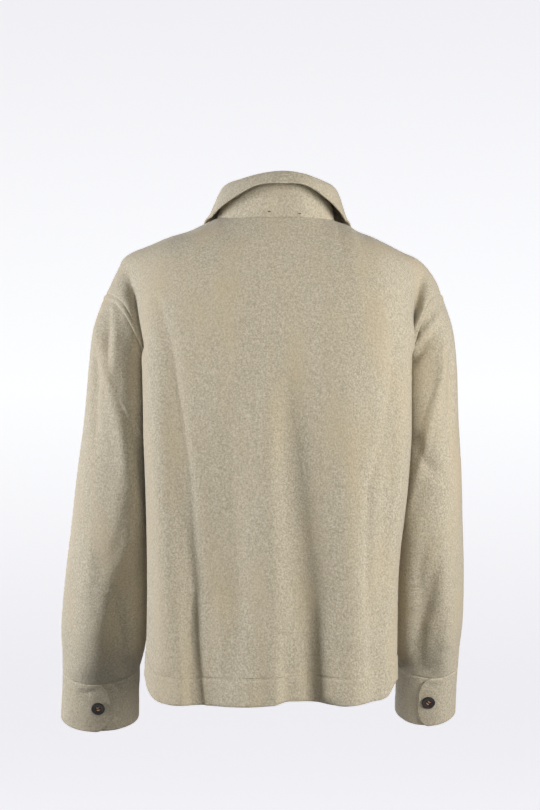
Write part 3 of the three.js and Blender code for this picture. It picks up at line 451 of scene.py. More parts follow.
class Sleeve:
    def __init__(self, sign):
        self.loop = armhole(sign)
        self.rings = [sleeveRing(sign, sleeveSections, i) for i in range(len(sleeveSections))]
        self.last = len(sleeveSections)

    def loopAt(self, turn):
        count = len(self.loop["point"])
        place = wrap(turn) * count
        i = np.floor(place).astype(int) % count
        f = (place - np.floor(place))[..., None]
        mixed = {key: lerp(values[i], values[(i + 1) % count], f) for key, values in self.loop.items()}
        return mixed["point"], unit(mixed["normal"]), unit(mixed["away"])

    def start(self, turn):
        point, normal, away = self.loopAt(turn)
        fold = (math.pi * (1 - np.abs(1 - 2 * wrap(turn))))[..., None]
        offset = away * np.cos(fold / 2) + normal * np.sin(fold / 2)
        inwards = away * np.sin(fold) - normal * np.cos(fold)
        return point + offset * cloth["armholeGap"], inwards

    # turn and along are arrays of one shape; along is counted in sections from the armhole (0)
    def base(self, turn, along):
        turn = wrap(turn)
        stations = np.stack([self.start(turn)[0]] + [ring(turn) for ring in self.rings])
        padded = np.concatenate([stations[:1], stations, stations[-1:]])
        i, f = splitPlace(np.minimum(along, self.last - 1e-6), self.last + 1)
        pick = lambda k: np.take_along_axis(padded, (i + k)[None, ..., None].repeat(3, -1), axis=0)[0]
        return cubicBetween(*(pick(k) for k in range(4)), f[..., None])

    def axisPoint(self, along):
        middles = np.array([(ring(0.0) + ring(0.5)) / 2 for ring in self.rings])
        return readTable(middles, np.clip(along - 1, 0, self.last - 1))

    def outwards(self, surface, turn, along):
        safe = np.clip(along, 0.02, self.last - 0.02)
        normal = normalOf(surface, turn, safe, 0.004, 0.015, 1)
        return facing(normal, surface(turn, along) - self.axisPoint(along))

    def foldHeight(self, turn, along):
        height = np.zeros_like(along)
        for fold in sleeveFolds:
            down = (along - fold["topAlong"]) / (fold["lowAlong"] - fold["topAlong"])
            middle = lerp(fold["topRound"], fold["lowRound"], np.clip(down, 0, 1))
            ends = ramp(down, *sleeveFoldEnds["start"]) * (1 - ramp(down, *sleeveFoldEnds["end"]))
            height += fold["height"] * ends * groove(wrap(turn) - middle, fold["width"])
        return height

    def skin(self, turn, along):
        normal = self.outwards(self.base, turn, along)
        return self.base(turn, along) + normal * self.foldHeight(turn, along)[..., None]


# Cuffs wind once round the wrist and lap over themselves, with a rounded tab. tabEnd and overlap are turns round the
# wrist. The cuff's waves are its own slow unevenness.
cuff = {
    "tabEnd": 0.292, "overlap": 0.14, "tabRounding": 17, "tabTip": 0.25, "tabFlare": 1.8, "girth": 2 * math.pi * 50,
    "lift": 3.3, "gap": 0.8, "wave": 1.2, "waveSize": 34, "rows": 28, "columns": 140, "tabColumns": 12,
}


def cuffSurface(sign):
    rows = [sleeveSections[-1], cuffEdge]
    top, low = sleeveRing(sign, rows, 0), sleeveRing(sign, rows, 1)
    startTurn = cuff["tabEnd"] - cuff["overlap"]
    down = unit(low(0.25) - top(0.25)) * cuff["gap"]

    def surface(turn, drop):
        drop = np.asarray(drop, float)[..., None]
        point = lerp(top(wrap(turn)) + down, low(wrap(turn)), drop)
        middle = lerp((top(0.0) + top(0.5)) / 2, (low(0.0) + low(0.5)) / 2, drop)
        wound = (turn - startTurn - cuff["overlap"]) / (1 - cuff["overlap"])
        return point + unit(point - middle) * (cuff["lift"] * smooth(wound))[..., None]

    return surface


# Collar: its cross sections at turns round the neck, from the centre back (0) to the centre front (1)
collarSections = table(
    "turn standOut standUp rollOut rollUp roll edgeOut edgeUp",
    (0, 0, 27, 1, 60, 6, 14, 44),
    (0.12, -1, 27, -1, 56.5, 6, 12, 41),
    (0.25, -3, 26, -4, 49, 6.5, 11, 22),
    (0.42, -6, 23, -10, 43, 7, 12, -4),
    (0.55, -6, 22, -13, 37, 7, 16, -8),
    (0.72, -3, 19, -5, 32, 7, 36, -8),
    (0.86, 1, 17, 3, 28, 7, 50, -24),
    (0.97, 3, 15, 8, 25, 6, 48, -62),
)
# A collar's line has five spans: the stand's two ends, three points over the roll and the free edge. The roll's
# sides are shares of its radius, out and down. The leaf sways out on the right.
collar = {
    "seamOut": 3.4, "thickness": 3, "intoNeck": 2.2, "tilt": -0.055, "end": 46 / 48, "spans": 5, "rollWay": 3,
    "rollInside": (0.7, 0.9), "rollOutside": (0.9, 0.8), "restGap": 1, "columns": 241, "softening": 6,
    "swayRight": 5, "swayTurn": 0.45, "swayWidth": 0.2,
}
collarStations = [{**collarSections[1], "turn": -collarSections[1]["turn"]}] + collarSections


def neckSeam(sign, turn):
    turn = np.atleast_1d(np.asarray(turn, float))
    back = turn < 0.5
    share = np.where(back, turn, 1 - turn) * 2 * neck["share"]
    rise = np.full(share.shape, 2.0)
    return np.where(back[:, None], torsoSkin(1, sign * share, rise), liftedFront(sign * share, rise))


def collarCurves(sign, turn):
    step = 0.02
    seam = neckSeam(sign, turn)
    along = neckSeam(sign, np.minimum(turn + step, 1)) - neckSeam(sign, np.maximum(turn - step, 0))
    along[:, 2] = 0
    along = unit(along)
    out = np.stack([along[:, 1], -along[:, 0], 0 * turn], axis=1) * -sign
    out[turn < step] = (0, 1, 0)
    place = tablePlace(collarStations, "turn", turn)
    size = {key: tableValue(collarStations, key, place) for key in collarStations[0]}

    def at(o, u):
        rise = np.stack([collar["tilt"] * u, 0 * u, 2 * cloth["seamGap"] + u], axis=1)
        return seam + out * (collar["seamOut"] + o)[:, None] + rise

    roll = size["roll"]
    (insideOut, insideDown), (outsideOut, outsideDown) = collar["rollInside"], collar["rollOutside"]
    swayed = collar["swayRight"] * groove(turn - collar["swayTurn"], collar["swayWidth"]) * (sign < 0)
    crownOut, crownUp = size["rollOut"] + swayed, size["rollUp"]
    return np.stack([
        at(0 * turn, 0 * turn),
        at(size["standOut"], size["standUp"]),
        at(crownOut - roll * insideOut, crownUp - roll * insideDown),
        at(crownOut, crownUp),
        at(crownOut + roll * outsideOut, crownUp - roll * outsideDown),
        at(size["edgeOut"] + swayed, size["edgeUp"]),
    ], axis=1)


# Samples of the torso round the neck, with their normals, for the collar to lie on
def restTree():
    points, normals = [], []
    for reach, sideStep, lowRise, riseStep in ((0.9, 0.02, 1.3, 0.02), (0.4, 0.008, 1.8, 0.009)):
        side, rise = np.meshgrid(np.arange(-reach, reach, sideStep), np.arange(lowRise, 2, riseStep))
        for half in (1, -1):
            skin = (lambda u, v: torsoSkin(1, u, v)) if half > 0 else liftedFront
            points.append(skin(side, rise).reshape(-1, 3))
            normals.append(normalOf(skin, side, np.minimum(rise, topRise), 0.01, 0.01, -half).reshape(-1, 3))
    points, normals = np.vstack(points), np.vstack(normals)
    tree = kdtree.KDTree(len(points))
    for i, point in enumerate(points):
        tree.insert(point, i)
    tree.balance()
    return tree, points, normals


torsoTree = restTree()


def restOnTorso(points, clearance):
    tree, samples, normals = torsoTree
    flat = points.reshape(-1, 3).copy()
    for i, point in enumerate(flat):
        _, nearest, _ = tree.find(point)
        depth = float(np.dot(point - samples[nearest], normals[nearest]))
        if depth < clearance:
            flat[i] = point + normals[nearest] * (clearance - depth)
    return flat.reshape(points.shape)


# The outside of the collar as a grid: way goes from the neck seam (0) over the stand's seam (1) and the roll (3)
# to the free edge (5), turns from the right end over the centre back to the left end
def collarGrid(turns, ways):
    grid = np.zeros((len(ways), len(turns), 3))
    for sign in (1, -1):
        here = (turns >= 0) if sign > 0 else (turns < 0)
        curves = collarCurves(sign, np.abs(turns[here]))
        grid[:, here] = np.stack([curvePoints(curve, False, ways / collar["spans"]) for curve in curves], axis=1)
    low = ways > collar["rollWay"]
    grid[low] = restOnTorso(grid[low], collar["thickness"] + collar["restGap"])
    return grid


rim = {"bulge": 0.34, "steps": (0.2, 0.5, 0.8)}  # how far an edge rounds out, in shares of the cloth's thickness


# Rows and columns of the grid along its open edges, in order round the piece
def edgeLoops(rows, columns, closed):
    across, down = np.arange(columns), np.arange(rows)
    if closed:
        return [(0 * across, across), (0 * across + rows - 1, across[::-1])]
    row = np.concatenate([0 * across[:-1], down[:-1], 0 * across[1:] + rows - 1, down[:0:-1]])
    column = np.concatenate([across[:-1], 0 * down[:-1] + columns - 1, across[:0:-1], 0 * down[1:]])
    return [(row, column)]


# Mesh of a wall from its outer and inner grid, with rounded edges
def wallMesh(name, outer, inner, closed=False):
    rows, columns = outer.shape[:2]
    count = rows * columns
    index = np.arange(count).reshape(rows, columns)
    points = [outer.reshape(-1, 3), inner.reshape(-1, 3)]
    wrapped = np.hstack([index, index[:, :1]]) if closed else index
    left, right = wrapped[:, :-1], wrapped[:, 1:]
    outside = np.stack([left[:-1], right[:-1], right[1:], left[1:]], axis=-1).reshape(-1, 4)
    faces = [outside, outside[:, ::-1] + count]
    total = 2 * count
    for row, column in edgeLoops(rows, columns, closed):
        top, low = outer[row, column], inner[row, column]
        inside = outer[np.clip(row, 1, rows - 2), column if closed else np.clip(column, 1, columns - 2)]
        depth = np.linalg.norm(low - top, axis=1, keepdims=True)
        across = unit(low - top)
        out = top - inside
        out = unit(out - (out * across).sum(axis=1, keepdims=True) * across)
        lines = [index[row, column]]
        for share in rim["steps"]:
            bulge = rim["bulge"] * math.sin(math.pi * share)
            points.append(lerp(top, low, share) + out * bulge * depth)
            lines.append(total + np.arange(len(row)))
            total += len(row)
        lines.append(index[row, column] + count)
        for upper, lower in zip(lines, lines[1:]):
            faces.append(np.stack([upper, lower, np.roll(lower, -1), np.roll(upper, -1)], axis=-1))
    points, faces = np.vstack(points) * mm, np.vstack(faces)
    a, b, c, d = (points[faces[:, k]] for k in range(4))
    if (a * np.cross(b, c)).sum() + (a * np.cross(c, d)).sum() < 0:
        faces = faces[:, ::-1]
    return quadMesh(name, points, faces)


def addObject(name, data):
    item = bpy.data.objects.new(name, data)
    bpy.context.scene.collection.objects.link(item)
    return item


def smoothShaded(mesh):
    mesh.polygons.foreach_set("use_smooth", [True] * len(mesh.polygons))
    return mesh


# Mesh object of quads, points in metres
def quadMesh(name, points, faces):
    mesh = bpy.data.meshes.new(name)
    mesh.vertices.add(len(points))
    mesh.vertices.foreach_set("co", points.astype(np.float32).ravel())
    mesh.loops.add(faces.size)
    mesh.loops.foreach_set("vertex_index", faces.astype(np.int32).ravel())
    mesh.polygons.add(len(faces))
    mesh.polygons.foreach_set("loop_start", np.arange(0, faces.size, 4, dtype=np.int32))
    smoothShaded(mesh)
    mesh.update(calc_edges=True)
    mesh.validate()
    return addObject(name, mesh)


# Quads of a tube, from its number of rings and of points round each ring
def tubeFaces(rings, sides):
    at = lambda i, k: i * sides + k % sides
    return [(at(i, k), at(i, k + 1), at(i + 1, k + 1), at(i + 1, k))
            for i in range(rings - 1) for k in range(sides)]


def gridNormals(grid, closed, sign):
    if closed:
        across = np.roll(grid, -1, axis=1) - np.roll(grid, 1, axis=1)
    else:
        across = np.gradient(grid, axis=1)
    return unit(sign * np.cross(across, np.gradient(grid, axis=0)))


# Length from an edge of the grid, in millimetres, along its rows (axis 1) or columns (axis 0)
def lengthAlong(grid, axis):
    step = np.linalg.norm(np.diff(grid, axis=axis), axis=-1)
    start = np.zeros_like(grid[:, :1, 0] if axis == 1 else grid[:1, :, 0])
    return np.concatenate([start, np.cumsum(step, axis=axis)], axis=axis)


# Soft uneven lumps of the brushed face
def napHeight(grid, size, seed):
    flat = grid.reshape(-1, 3) / size
    values = [noise.noise(Vector(point) + Vector((seed, 3 * seed, 7 * seed))) for point in flat]
    return np.array(values).reshape(grid.shape[:2])


# Creases, given one by one. Each is its width, then (x, z, height) at points along it, with a trough's height
# negative.
def creaseHeight(creases, x, z):
    height = np.zeros_like(x)
    for width, *line in creases:
        nearest, tall = np.full(x.shape, np.inf), np.zeros_like(x)
        for (startX, startZ, startTall), (endX, endZ, endTall) in zip(line, line[1:]):
            wayX, wayZ = endX - startX, endZ - startZ
            share = np.clip(((x - startX) * wayX + (z - startZ) * wayZ) / (wayX * wayX + wayZ * wayZ), 0, 1)
            distance = np.hypot(x - startX - share * wayX, z - startZ - share * wayZ)
            tall = np.where(distance < nearest, lerp(startTall, endTall, share), tall)
            nearest = np.minimum(distance, nearest)
        height += tall * groove(nearest, width)
    return height


# Where a field over the grid reaches a value, in each row (axis 1) or column (axis 0): points and normals there
def lineAt(grid, normals, field, value, axis):
    if axis == 0:
        grid, normals, field = grid.swapaxes(0, 1), normals.swapaxes(0, 1), field.T
    points, ways = [], []
    for i in range(len(field)):
        order = 1 if field[i, -1] > field[i, 0] else -1
        if not min(field[i, 0], field[i, -1]) < value < max(field[i, 0], field[i, -1]):
            continue
        place = np.interp(value, field[i, ::order], np.arange(field.shape[1])[::order])
        points.append(readTable(grid[i], np.array([place]))[0])
        ways.append(readTable(normals[i], np.array([place]))[0])
    return np.array(points), unit(np.array(ways))


stitch = {"length": 3.4, "gap": 1.1, "width": 0.75, "height": 0.5, "lift": 0.15}
stitchRing = [(math.cos(a), math.sin(a)) for a in np.arange(6) * math.pi / 3]
# Along the stitch from end to end: place, thickness and how far the thread sinks into the nap
stitchRows = [(-0.5, 0.15, -0.8), (-0.3, 0.9, 0), (0.3, 0.9, 0), (0.5, 0.15, -0.8)]


# Thread that dips in and out of the cloth along lines
def stitches(name, runs, stitch=stitch):
    template = np.array([(a, w * c, w * h + sink) for a, w, sink in stitchRows for c, h in stitchRing])
    quads = np.array(tubeFaces(len(stitchRows), len(stitchRing)))
    pitch = stitch["length"] + stitch["gap"]
    points, faces = [], []
    for line, normals in runs:
        length = lengths(line)
        middles = np.arange(pitch / 2, length[-1] - pitch / 2, pitch)
        pick = lambda values, at: np.stack([np.interp(at, length, values[:, k]) for k in range(3)], axis=1)
        centre, normal = pick(line, middles), unit(pick(normals, middles))
        along = unit(pick(line, middles + 1) - pick(line, middles - 1))
        side = np.cross(along, normal)
        centre = centre + normal * stitch["lift"]
        for i in range(len(middles)):
            spot = (template[:, :1] * stitch["length"] * along[i] + template[:, 1:2] * stitch["width"] / 2 * side[i]
                    + template[:, 2:] * stitch["height"] / 2 * normal[i])
            faces.extend(quads + len(points) * len(template))
            points.append(centre[i] + spot)
    return quadMesh(name, np.vstack(points) * mm, np.array(faces))


stitchLines = {}
# The torso's cloth. Rows and columns stand closer beside the hem's stitches and the armhole seams. Beside an armhole
# the folded allowances lift the cloth, stitches dip it at their edge, and easing puckers it.
torso = {
    "step": 3.2, "nap": 0.22, "napSize": 6, "seamDip": 0.9, "seamWidth": 1.6, "edgeStitch": 6, "creaseFade": 9,
    "allowance": 8, "allowanceLift": 1.1, "stitchDip": 1.1, "stitchWidth": 1.3,
    "easePucker": 0.7, "easeSize": 9, "easeReach": 9,
    "hemStitchWidth": 1.6, "hemPucker": 0.8, "puckerSize": 16, "puckerStart": 3, "puckerReach": 12,
    "hemRows": (-3.2, -2, -1.2, -0.5, 0, 0.5, 1.2, 2, 3.2), "hemClear": 4, "highHeight": 330, "highPower": 1.25,
    "halfGirth": 255, "seamColumns": (10.6, 9.2, 8.6, 8, 7.4, 6.6, 4.6, 2.8, 1.6, 0.8, 0), "seamClear": 12,
}


def torsoRises(step):
    low = np.linspace(0, 1, int(lowHeight / step) + 1)
    low = low[np.abs(low - hemShare) * lowHeight > torso["hemClear"]]
    nearHem = hemShare + np.array(torso["hemRows"]) / lowHeight
    high = 2 - (1 - np.linspace(0, 1, int(torso["highHeight"] / step) + 1)[1:]) ** torso["highPower"]
    return np.sort(np.concatenate([low, nearHem, high]))


def torsoWall(name, half, sidesAt, skin, creases):
    rises = torsoRises(torso["step"])
    sides = np.stack([sidesAt(rise) for rise in rises])
    rise = np.repeat(rises[:, None], sides.shape[1], axis=1)
    outer = skin(sides, rise)
    normal = gridNormals(outer, False, -half)
    fromRight, fromFoot = lengthAlong(outer, 1), lengthAlong(outer, 0)
    fromLeft, fromTop = fromRight[:, -1:] - fromRight, fromFoot[-1:] - fromFoot
    fromHem = np.abs(rise - hemShare) * lowHeight
    ends = [d for d, edge in ((fromLeft, sides[0, -1]), (fromRight, sides[0, 0])) if abs(edge) > 0.99]
    overArmpit = ramp(rise, 1.0, 0.03)
    move = creaseHeight(creases, outer[..., 0], outer[..., 2])
    # Creases fade out before the armhole seam, so both cloths stay joined there
    for distance in ends:
        move *= 1 - overArmpit * (1 - ramp(distance, 1, torso["creaseFade"]))
    ease = napHeight(outer * (0.25, 0.25, 1), torso["easeSize"], 8) * torso["easePucker"]
    for distance in ends:
        move -= (1 - overArmpit) * torso["seamDip"] * groove(distance, torso["seamWidth"])
        band = smooth((torso["allowance"] + 1 - distance) / 2) * (1 - 0.6 * groove(distance, 1))
        move += overArmpit * torso["allowanceLift"] * band
        move -= overArmpit * torso["stitchDip"] * groove(distance - torso["allowance"], torso["stitchWidth"])
        move += overArmpit * ease * groove(distance - torso["allowance"], torso["easeReach"])
    overShoulder = np.abs(sides) > neck["share"]
    move -= np.where(overShoulder, torso["seamDip"] * groove(fromTop, torso["seamWidth"]), 0)
    pucker = napHeight(outer * (1, 1, 0.25), torso["puckerSize"], 5) * torso["hemPucker"]
    pucker *= groove(np.maximum(fromHem - torso["puckerStart"], 0), torso["puckerReach"])
    move += -torso["stitchDip"] * groove(fromHem, torso["hemStitchWidth"]) + pucker
    move += torso["nap"] * napHeight(outer, torso["napSize"], 1)
    outer = outer + normal * move[..., None]
    normal = gridNormals(outer, False, -half)
    # The shoulder seam's edges lie level, so the two panels meet
    level = unit(normal[-1] * (1, 0, 1))
    normal[-1] = np.where(overShoulder[-1][:, None], level, normal[-1])
    inner = outer - normal * cloth["thickness"]
    runs = [lineAt(outer, normal, rise, hemShare, 0)]
    high = rises > 1.01
    for distance in ends:
        runs.append(lineAt(outer[high], normal[high], distance[high], torso["allowance"], 1))
    if half < 0:
        nearEdge = min(sides[0, 0], sides[0, -1], key=abs)
        distance = fromRight if nearEdge == sides[0, 0] else fromLeft
        runs.append(lineAt(outer, normal, distance, torso["edgeStitch"], 1))
    stitchLines[name.replace("cloth", "stitches")] = runs
    return wallMesh(name, outer, inner)


def overlapShare(rise):
    trial = np.linspace(0, 0.3, 301)
    x = torsoBase(-1, trial, np.full(trial.shape, rise))[:, 0]
    return float(np.interp(cloth["frontOverlap"], x, trial))


# Finer creases than the folds of the solids
backCreases = [
    # left crease, with the panel that rolls into it and the flat ridge at the side
    (7, (166, -122, -2.5), (145, -192, -4.2), (131, -284, -4.6), (117, -387, -3), (114, -503, -1.6),
     (112, -580, -1.4)),
    (9, (172, -200, 1), (160, -300, 1.5)),
    (9, (118, -544, -1.5), (118, -600, -5.5), (115, -690, -7.5)),
    (10, (101, -544, 2), (98, -600, 6), (94, -690, 8)),
    (13, (164, -170, 1.5), (160, -266, 3), (157, -363, 4), (154, -461, 4), (153, -560, 4), (153, -640, 2.5)),
    # middle ridge and the trough beside it
    (17, (20, -300, 1), (25, -490, 2.6), (27, -560, 3.4), (29, -628, 4.6), (30, -690, 5)),
    (15, (64, -280, -0.8), (58, -400, -2.8), (54, -520, -2.4), (52, -640, -1.4)),
    (14, (-2, -234, -0.4), (-15, -360, -0.6), (-24, -490, -0.6), (-36, -560, -2.4), (-43, -628, -5),
     (-46, -690, -6.5)),
    (11, (-18, -600, -2), (-20, -650, -5), (-22, -690, -7.5)),
    (11, (-69, -560, 2), (-74, -628, 6), (-77, -680, 8)),
    (18, (-104, -380, 0.6), (-108, -480, 2), (-112, -600, 2.5)),
    # shallow hollows left of the middle
    (13, (95, -307, -1), (89, -405, -2.4), (84, -530, -1.6)),
    (8, (77, -489, 0.8), (74, -572, 1.6), (73, -656, 1.4)),
    # right crease
    (6, (-168, -182, -1), (-157, -294, -2.2), (-143, -349, -2.4), (-132, -395, -2.6), (-131, -516, -3),
     (-136, -646, -2.6)),
    (12, (-184, -170, 1), (-183, -266, 1.5), (-178, -363, 2), (-167, -461, 2), (-160, -560, 1)),
    # hollows under the shoulders, beside the armholes
    (9, (216, -134, -3), (204, -159, -7), (193, -189, -5)),
    (7, (-212, -142, 2), (-203, -165, 5), (-198, -190, 4)),
    (14, (40, -20, 0.4), (62, -60, 0.9), (70, -110, 0.3)),
    (12, (-60, -24, -0.3), (-84, -66, -0.9), (-92, -120, -0.3)),
]
frontCreases = [
    (7, (158, -190, -1), (140, -330, -2), (124, -500, -2.8), (112, -680, -2.4)),
    (10, (96, -240, 0.8), (86, -420, 2), (78, -660, 2.2)),
    (9, (48, -300, -0.6), (58, -460, -1.8), (62, -670, -2.6)),
    (7, (-150, -180, -1), (-138, -320, -2.2), (-120, -520, -2.4), (-116, -680, -2)),
    (11, (-88, -260, 0.6), (-90, -430, 1.8), (-84, -650, 2)),
    (9, (-50, -320, -0.5), (-58, -500, -1.6), (-70, -670, -2.8)),
    (9, (214, -140, -2), (203, -166, -4), (192, -195, -3)),
    (8, (-214, -140, -2), (-204, -166, -4), (-196, -196, -3)),
]
# A half is about halfGirth round, so one share of a side is that many millimetres
halfGirth = torso["halfGirth"]
halfColumns = int(halfGirth / torso["step"])
halfSides = np.arange(1, halfColumns + 1) / halfColumns
nearSeam = 1 - np.array(torso["seamColumns"]) / halfGirth
halfSides = np.concatenate([halfSides[halfSides < 1 - torso["seamClear"] / halfGirth], nearSeam])
backSides = np.concatenate([-halfSides[::-1], [0], halfSides])
leftSides = lambda rise: np.concatenate([-overlapShare(rise) * np.linspace(1, 0.08, 14), [0], halfSides])
rightSides = lambda rise: -leftSides(rise)[::-1]
backSkin, frontSkin = (lambda u, v: torsoSkin(1, u, v)), (lambda u, v: torsoSkin(-1, u, v))
backCloth = torsoWall("back_cloth", 1, lambda rise: backSides, backSkin, backCreases)
frontLeftCloth = torsoWall("front_left_cloth", -1, leftSides, liftedFront, frontCreases)
frontRightCloth = torsoWall("front_right_cloth", -1, rightSides, frontSkin, frontCreases)
print("torso panels built")

# The sleeve's cloth. It tucks in at the armhole, puckers where it is eased into both seams, and dips along the seam
# under the arm. Its end goes a little way into the cuff.
sleeveCut = {
    "step": 3.2, "length": 560, "girth": 470, "endRows": (0.006, 0.014, 0.024, 7.985, 7.995), "foldsEnd": 7.3,
    "creaseFade": 10, "tuck": 0.5, "tuckWidth": 4, "seamTurn": 0.53, "seamDip": 1.1, "seamWidth": 2.6,
    "easePucker": 1.0, "easeSize": 5, "easeRound": 30, "easeAt": 8, "easeReach": 12, "cuffEaseReach": 10,
    "cuffDip": 0.7, "cuffDipWidth": 1.8, "intoCuff": 1.4,
}
leftSleeveCreases = [
    (5, (240, -227, 1), (207, -294, 2.6), (187, -325, 1.5)),
    (6, (236, -240, -0.8), (204, -306, -2)),
    (6, (237, -140, -1.5), (238, -179, -4), (236, -218, -1.5)),
    (6, (229, -134, 1), (227, -179, 3), (229, -226, 1.5)),
    (6, (254, -150, 1), (256, -200, 3), (259, -250, 1)),
    (20, (214, -205, 4), (206, -265, 8), (209, -366, 9), (213, -465, 9), (236, -545, 9), (250, -600, 9),
     (254, -670, 8)),
    (10, (230, -548, -3), (220, -614, -6), (217, -665, -6)),
    (10, (262, -420, -0.6), (250, -500, -2), (258, -580, -0.8)),
    (8, (214, -420, -1), (222, -470, -3), (240, -505, -1)),
]
rightSleeveCreases = [
    (9, (-238, -485, -1.5), (-219, -571, -4), (-205, -624, -3)),
    (13, (-202, -430, 2), (-200, -500, 7), (-198, -560, 7), (-196, -610, 4)),
    (10, (-225, -590, 3), (-222, -650, 4)),
    (7, (-224, -480, 1), (-207, -560, 2.4)),
    (20, (-206, -230, 4), (-207, -262, 8), (-205, -300, 5)),
    (6, (-240, -139, 2), (-217, -168, 5), (-197, -197, 5)),
    (7, (-228, -170, -1), (-213, -186, -4), (-200, -208, -5)),
    (9, (-203, -323, -5), (-212, -352, -4), (-236, -372, -1.5)),
    (7, (-246, -150, 0.8), (-243, -210, 1.8), (-246, -262, 0.6)),
    (8, (-255, -560, 1), (-250, -620, 2)),
]


# How far the cuff stands out from the sleeve's end, as the cuff laps over itself
def cuffLift(turn):
    turn = np.where(wrap(turn) < cuff["tabEnd"], wrap(turn) + 1, wrap(turn))
    wound = smooth((turn - cuff["tabEnd"]) / (1 - cuff["overlap"]))
    return cuff["lift"] * wound * (1 - smooth((turn - (cuff["tabEnd"] + 1 - cuff["overlap"])) / cuff["overlap"]))


def sleeveWall(name, sign, creases):
    cut = sleeveCut
    sleeve = Sleeve(sign)
    columns, rows = int(cut["girth"] / cut["step"]), int(cut["length"] / cut["step"])
    turns = np.arange(columns) / columns
    alongs = np.sort(np.concatenate([np.linspace(0, sleeve.last, rows + 1), cut["endRows"]]))
    turn, along = np.meshgrid(turns, alongs)
    # The folds run out before the cuff, which holds the cloth flat
    toCuff = ramp(along, cut["foldsEnd"], sleeve.last - cut["foldsEnd"])
    outer = lerp(sleeve.skin(turn, along), sleeve.base(turn, along), toCuff[..., None])
    outer[0], inwards = sleeve.start(turns)
    normal = facing(gridNormals(outer, True, 1), outer - sleeve.axisPoint(along))
    down = lengthAlong(outer, 0)
    toEnd = down[-1:] - down
    # Creases lie where the cloth faces back or front, and fade out at both ends
    faced = smooth(np.abs(normal[..., 1]) / 0.3)
    move = creaseHeight(creases, outer[..., 0], outer[..., 2]) * faced * (1 - toCuff)
    move *= ramp(down, 1, cut["creaseFade"])
    move += torso["nap"] * napHeight(outer, torso["napSize"], 2)
    angle = 2 * np.pi * turn
    around = np.stack([cut["easeRound"] * np.cos(angle), cut["easeRound"] * np.sin(angle), down * 0.2], axis=-1)
    ease = napHeight(around, cut["easeSize"], 6) * cut["easePucker"]
    move += ease * groove(down - cut["easeAt"], cut["easeReach"])
    move += ease * 0.5 * groove(toEnd - cut["easeAt"], cut["cuffEaseReach"])
    move -= cut["tuck"] * groove(down, cut["tuckWidth"])
    underarm = np.abs(wrap(turn - cut["seamTurn"] + 0.5) - 0.5) * cut["girth"]
    move -= cut["seamDip"] * groove(underarm, cut["seamWidth"])
    move += cuffLift(turn) * toCuff - cut["cuffDip"] * groove(toEnd, cut["cuffDipWidth"])
    outer = outer + normal * move[..., None]
    inner = outer - normal * cloth["thickness"]
    inner[0] = outer[0] + inwards * cloth["thickness"]
    into = unit(outer[-1] - outer[-2]) * cut["intoCuff"]
    outer[-1], inner[-1] = outer[-1] + into, inner[-1] + into
    return wallMesh(name, outer, inner, True)


sleeveLeftCloth = sleeveWall("sleeve_left_cloth", 1, leftSleeveCreases)
sleeveRightCloth = sleeveWall("sleeve_right_cloth", -1, rightSleeveCreases)
print("sleeves built")

# The pull of the buttonhole above each button, and the left tab's edge: 1 is the left cuff
cuffCreases = {
    1: [(4, (286, -696, -0.6), (274, -697, -1.6), (262, -693, -0.6)),
        (5, (284, -688, 0.6), (268, -688, 0.8)),
        (4, (243, -672, -1.5), (229, -689, -2.8), (226, -707, -2.8), (232, -735, -2))],
    -1: [(4, (-226, -684, -0.5), (-238, -688, -1.4), (-250, -684, -0.5))],
}


def cuffWall(name, sign):
    surface = cuffSurface(sign)
    startTurn, endTurn = cuff["tabEnd"] - cuff["overlap"], cuff["tabEnd"] + 1
    roundShare = cuff["tabRounding"] / cuff["girth"]
    plain = np.linspace(startTurn, endTurn - roundShare, cuff["columns"])
    quarter = np.linspace(0, 1, cuff["tabColumns"] + 1)[1:] * math.pi / 2
    turns = np.concatenate([plain, endTurn - roundShare * (1 - np.sin(quarter))])
    toEnd = np.clip((endTurn - turns) / roundShare, 0, 1)
    halfHeight = 0.5 * lerp(cuff["tabTip"], 1, np.sqrt(1 - (1 - toEnd) ** 2))
    rows = np.linspace(-1, 1, cuff["rows"])[:, None]
    drop = 0.5 - rows * halfHeight[None, :]
    turn = np.repeat(turns[None, :], len(rows), axis=0)
    outer = surface(turn, drop)
    middle = (outer + surface(turn + 0.5, drop)) / 2
    normal = facing(normalOf(surface, turn, drop, 0.004, 0.05, 1), outer - middle)
    move = torso["nap"] * napHeight(outer, torso["napSize"], 3)
    move += napHeight(outer, cuff["waveSize"], 9) * cuff["wave"]
    move += creaseHeight(cuffCreases[sign], outer[..., 0], outer[..., 2]) * smooth(normal[..., 1] / 0.3)
    move += cuff["tabFlare"] * (1 - toEnd) ** 3
    outer = outer + normal * move[..., None]
    return wallMesh(name, outer, outer - normal * cloth["thickness"])


cuffLeftCloth = cuffWall("cuff_left_cloth", 1)
cuffRightCloth = cuffWall("cuff_right_cloth", -1)


def softened(grid, passes):
    for _ in range(passes):
        inside = grid.copy()
        inside[1:-1, 1:-1] = (
            grid[:-2, 1:-1] + grid[2:, 1:-1] + grid[1:-1, :-2] + grid[1:-1, 2:] + 2 * grid[1:-1, 1:-1]) / 6
        grid = inside
    return grid


collarFaces = {}


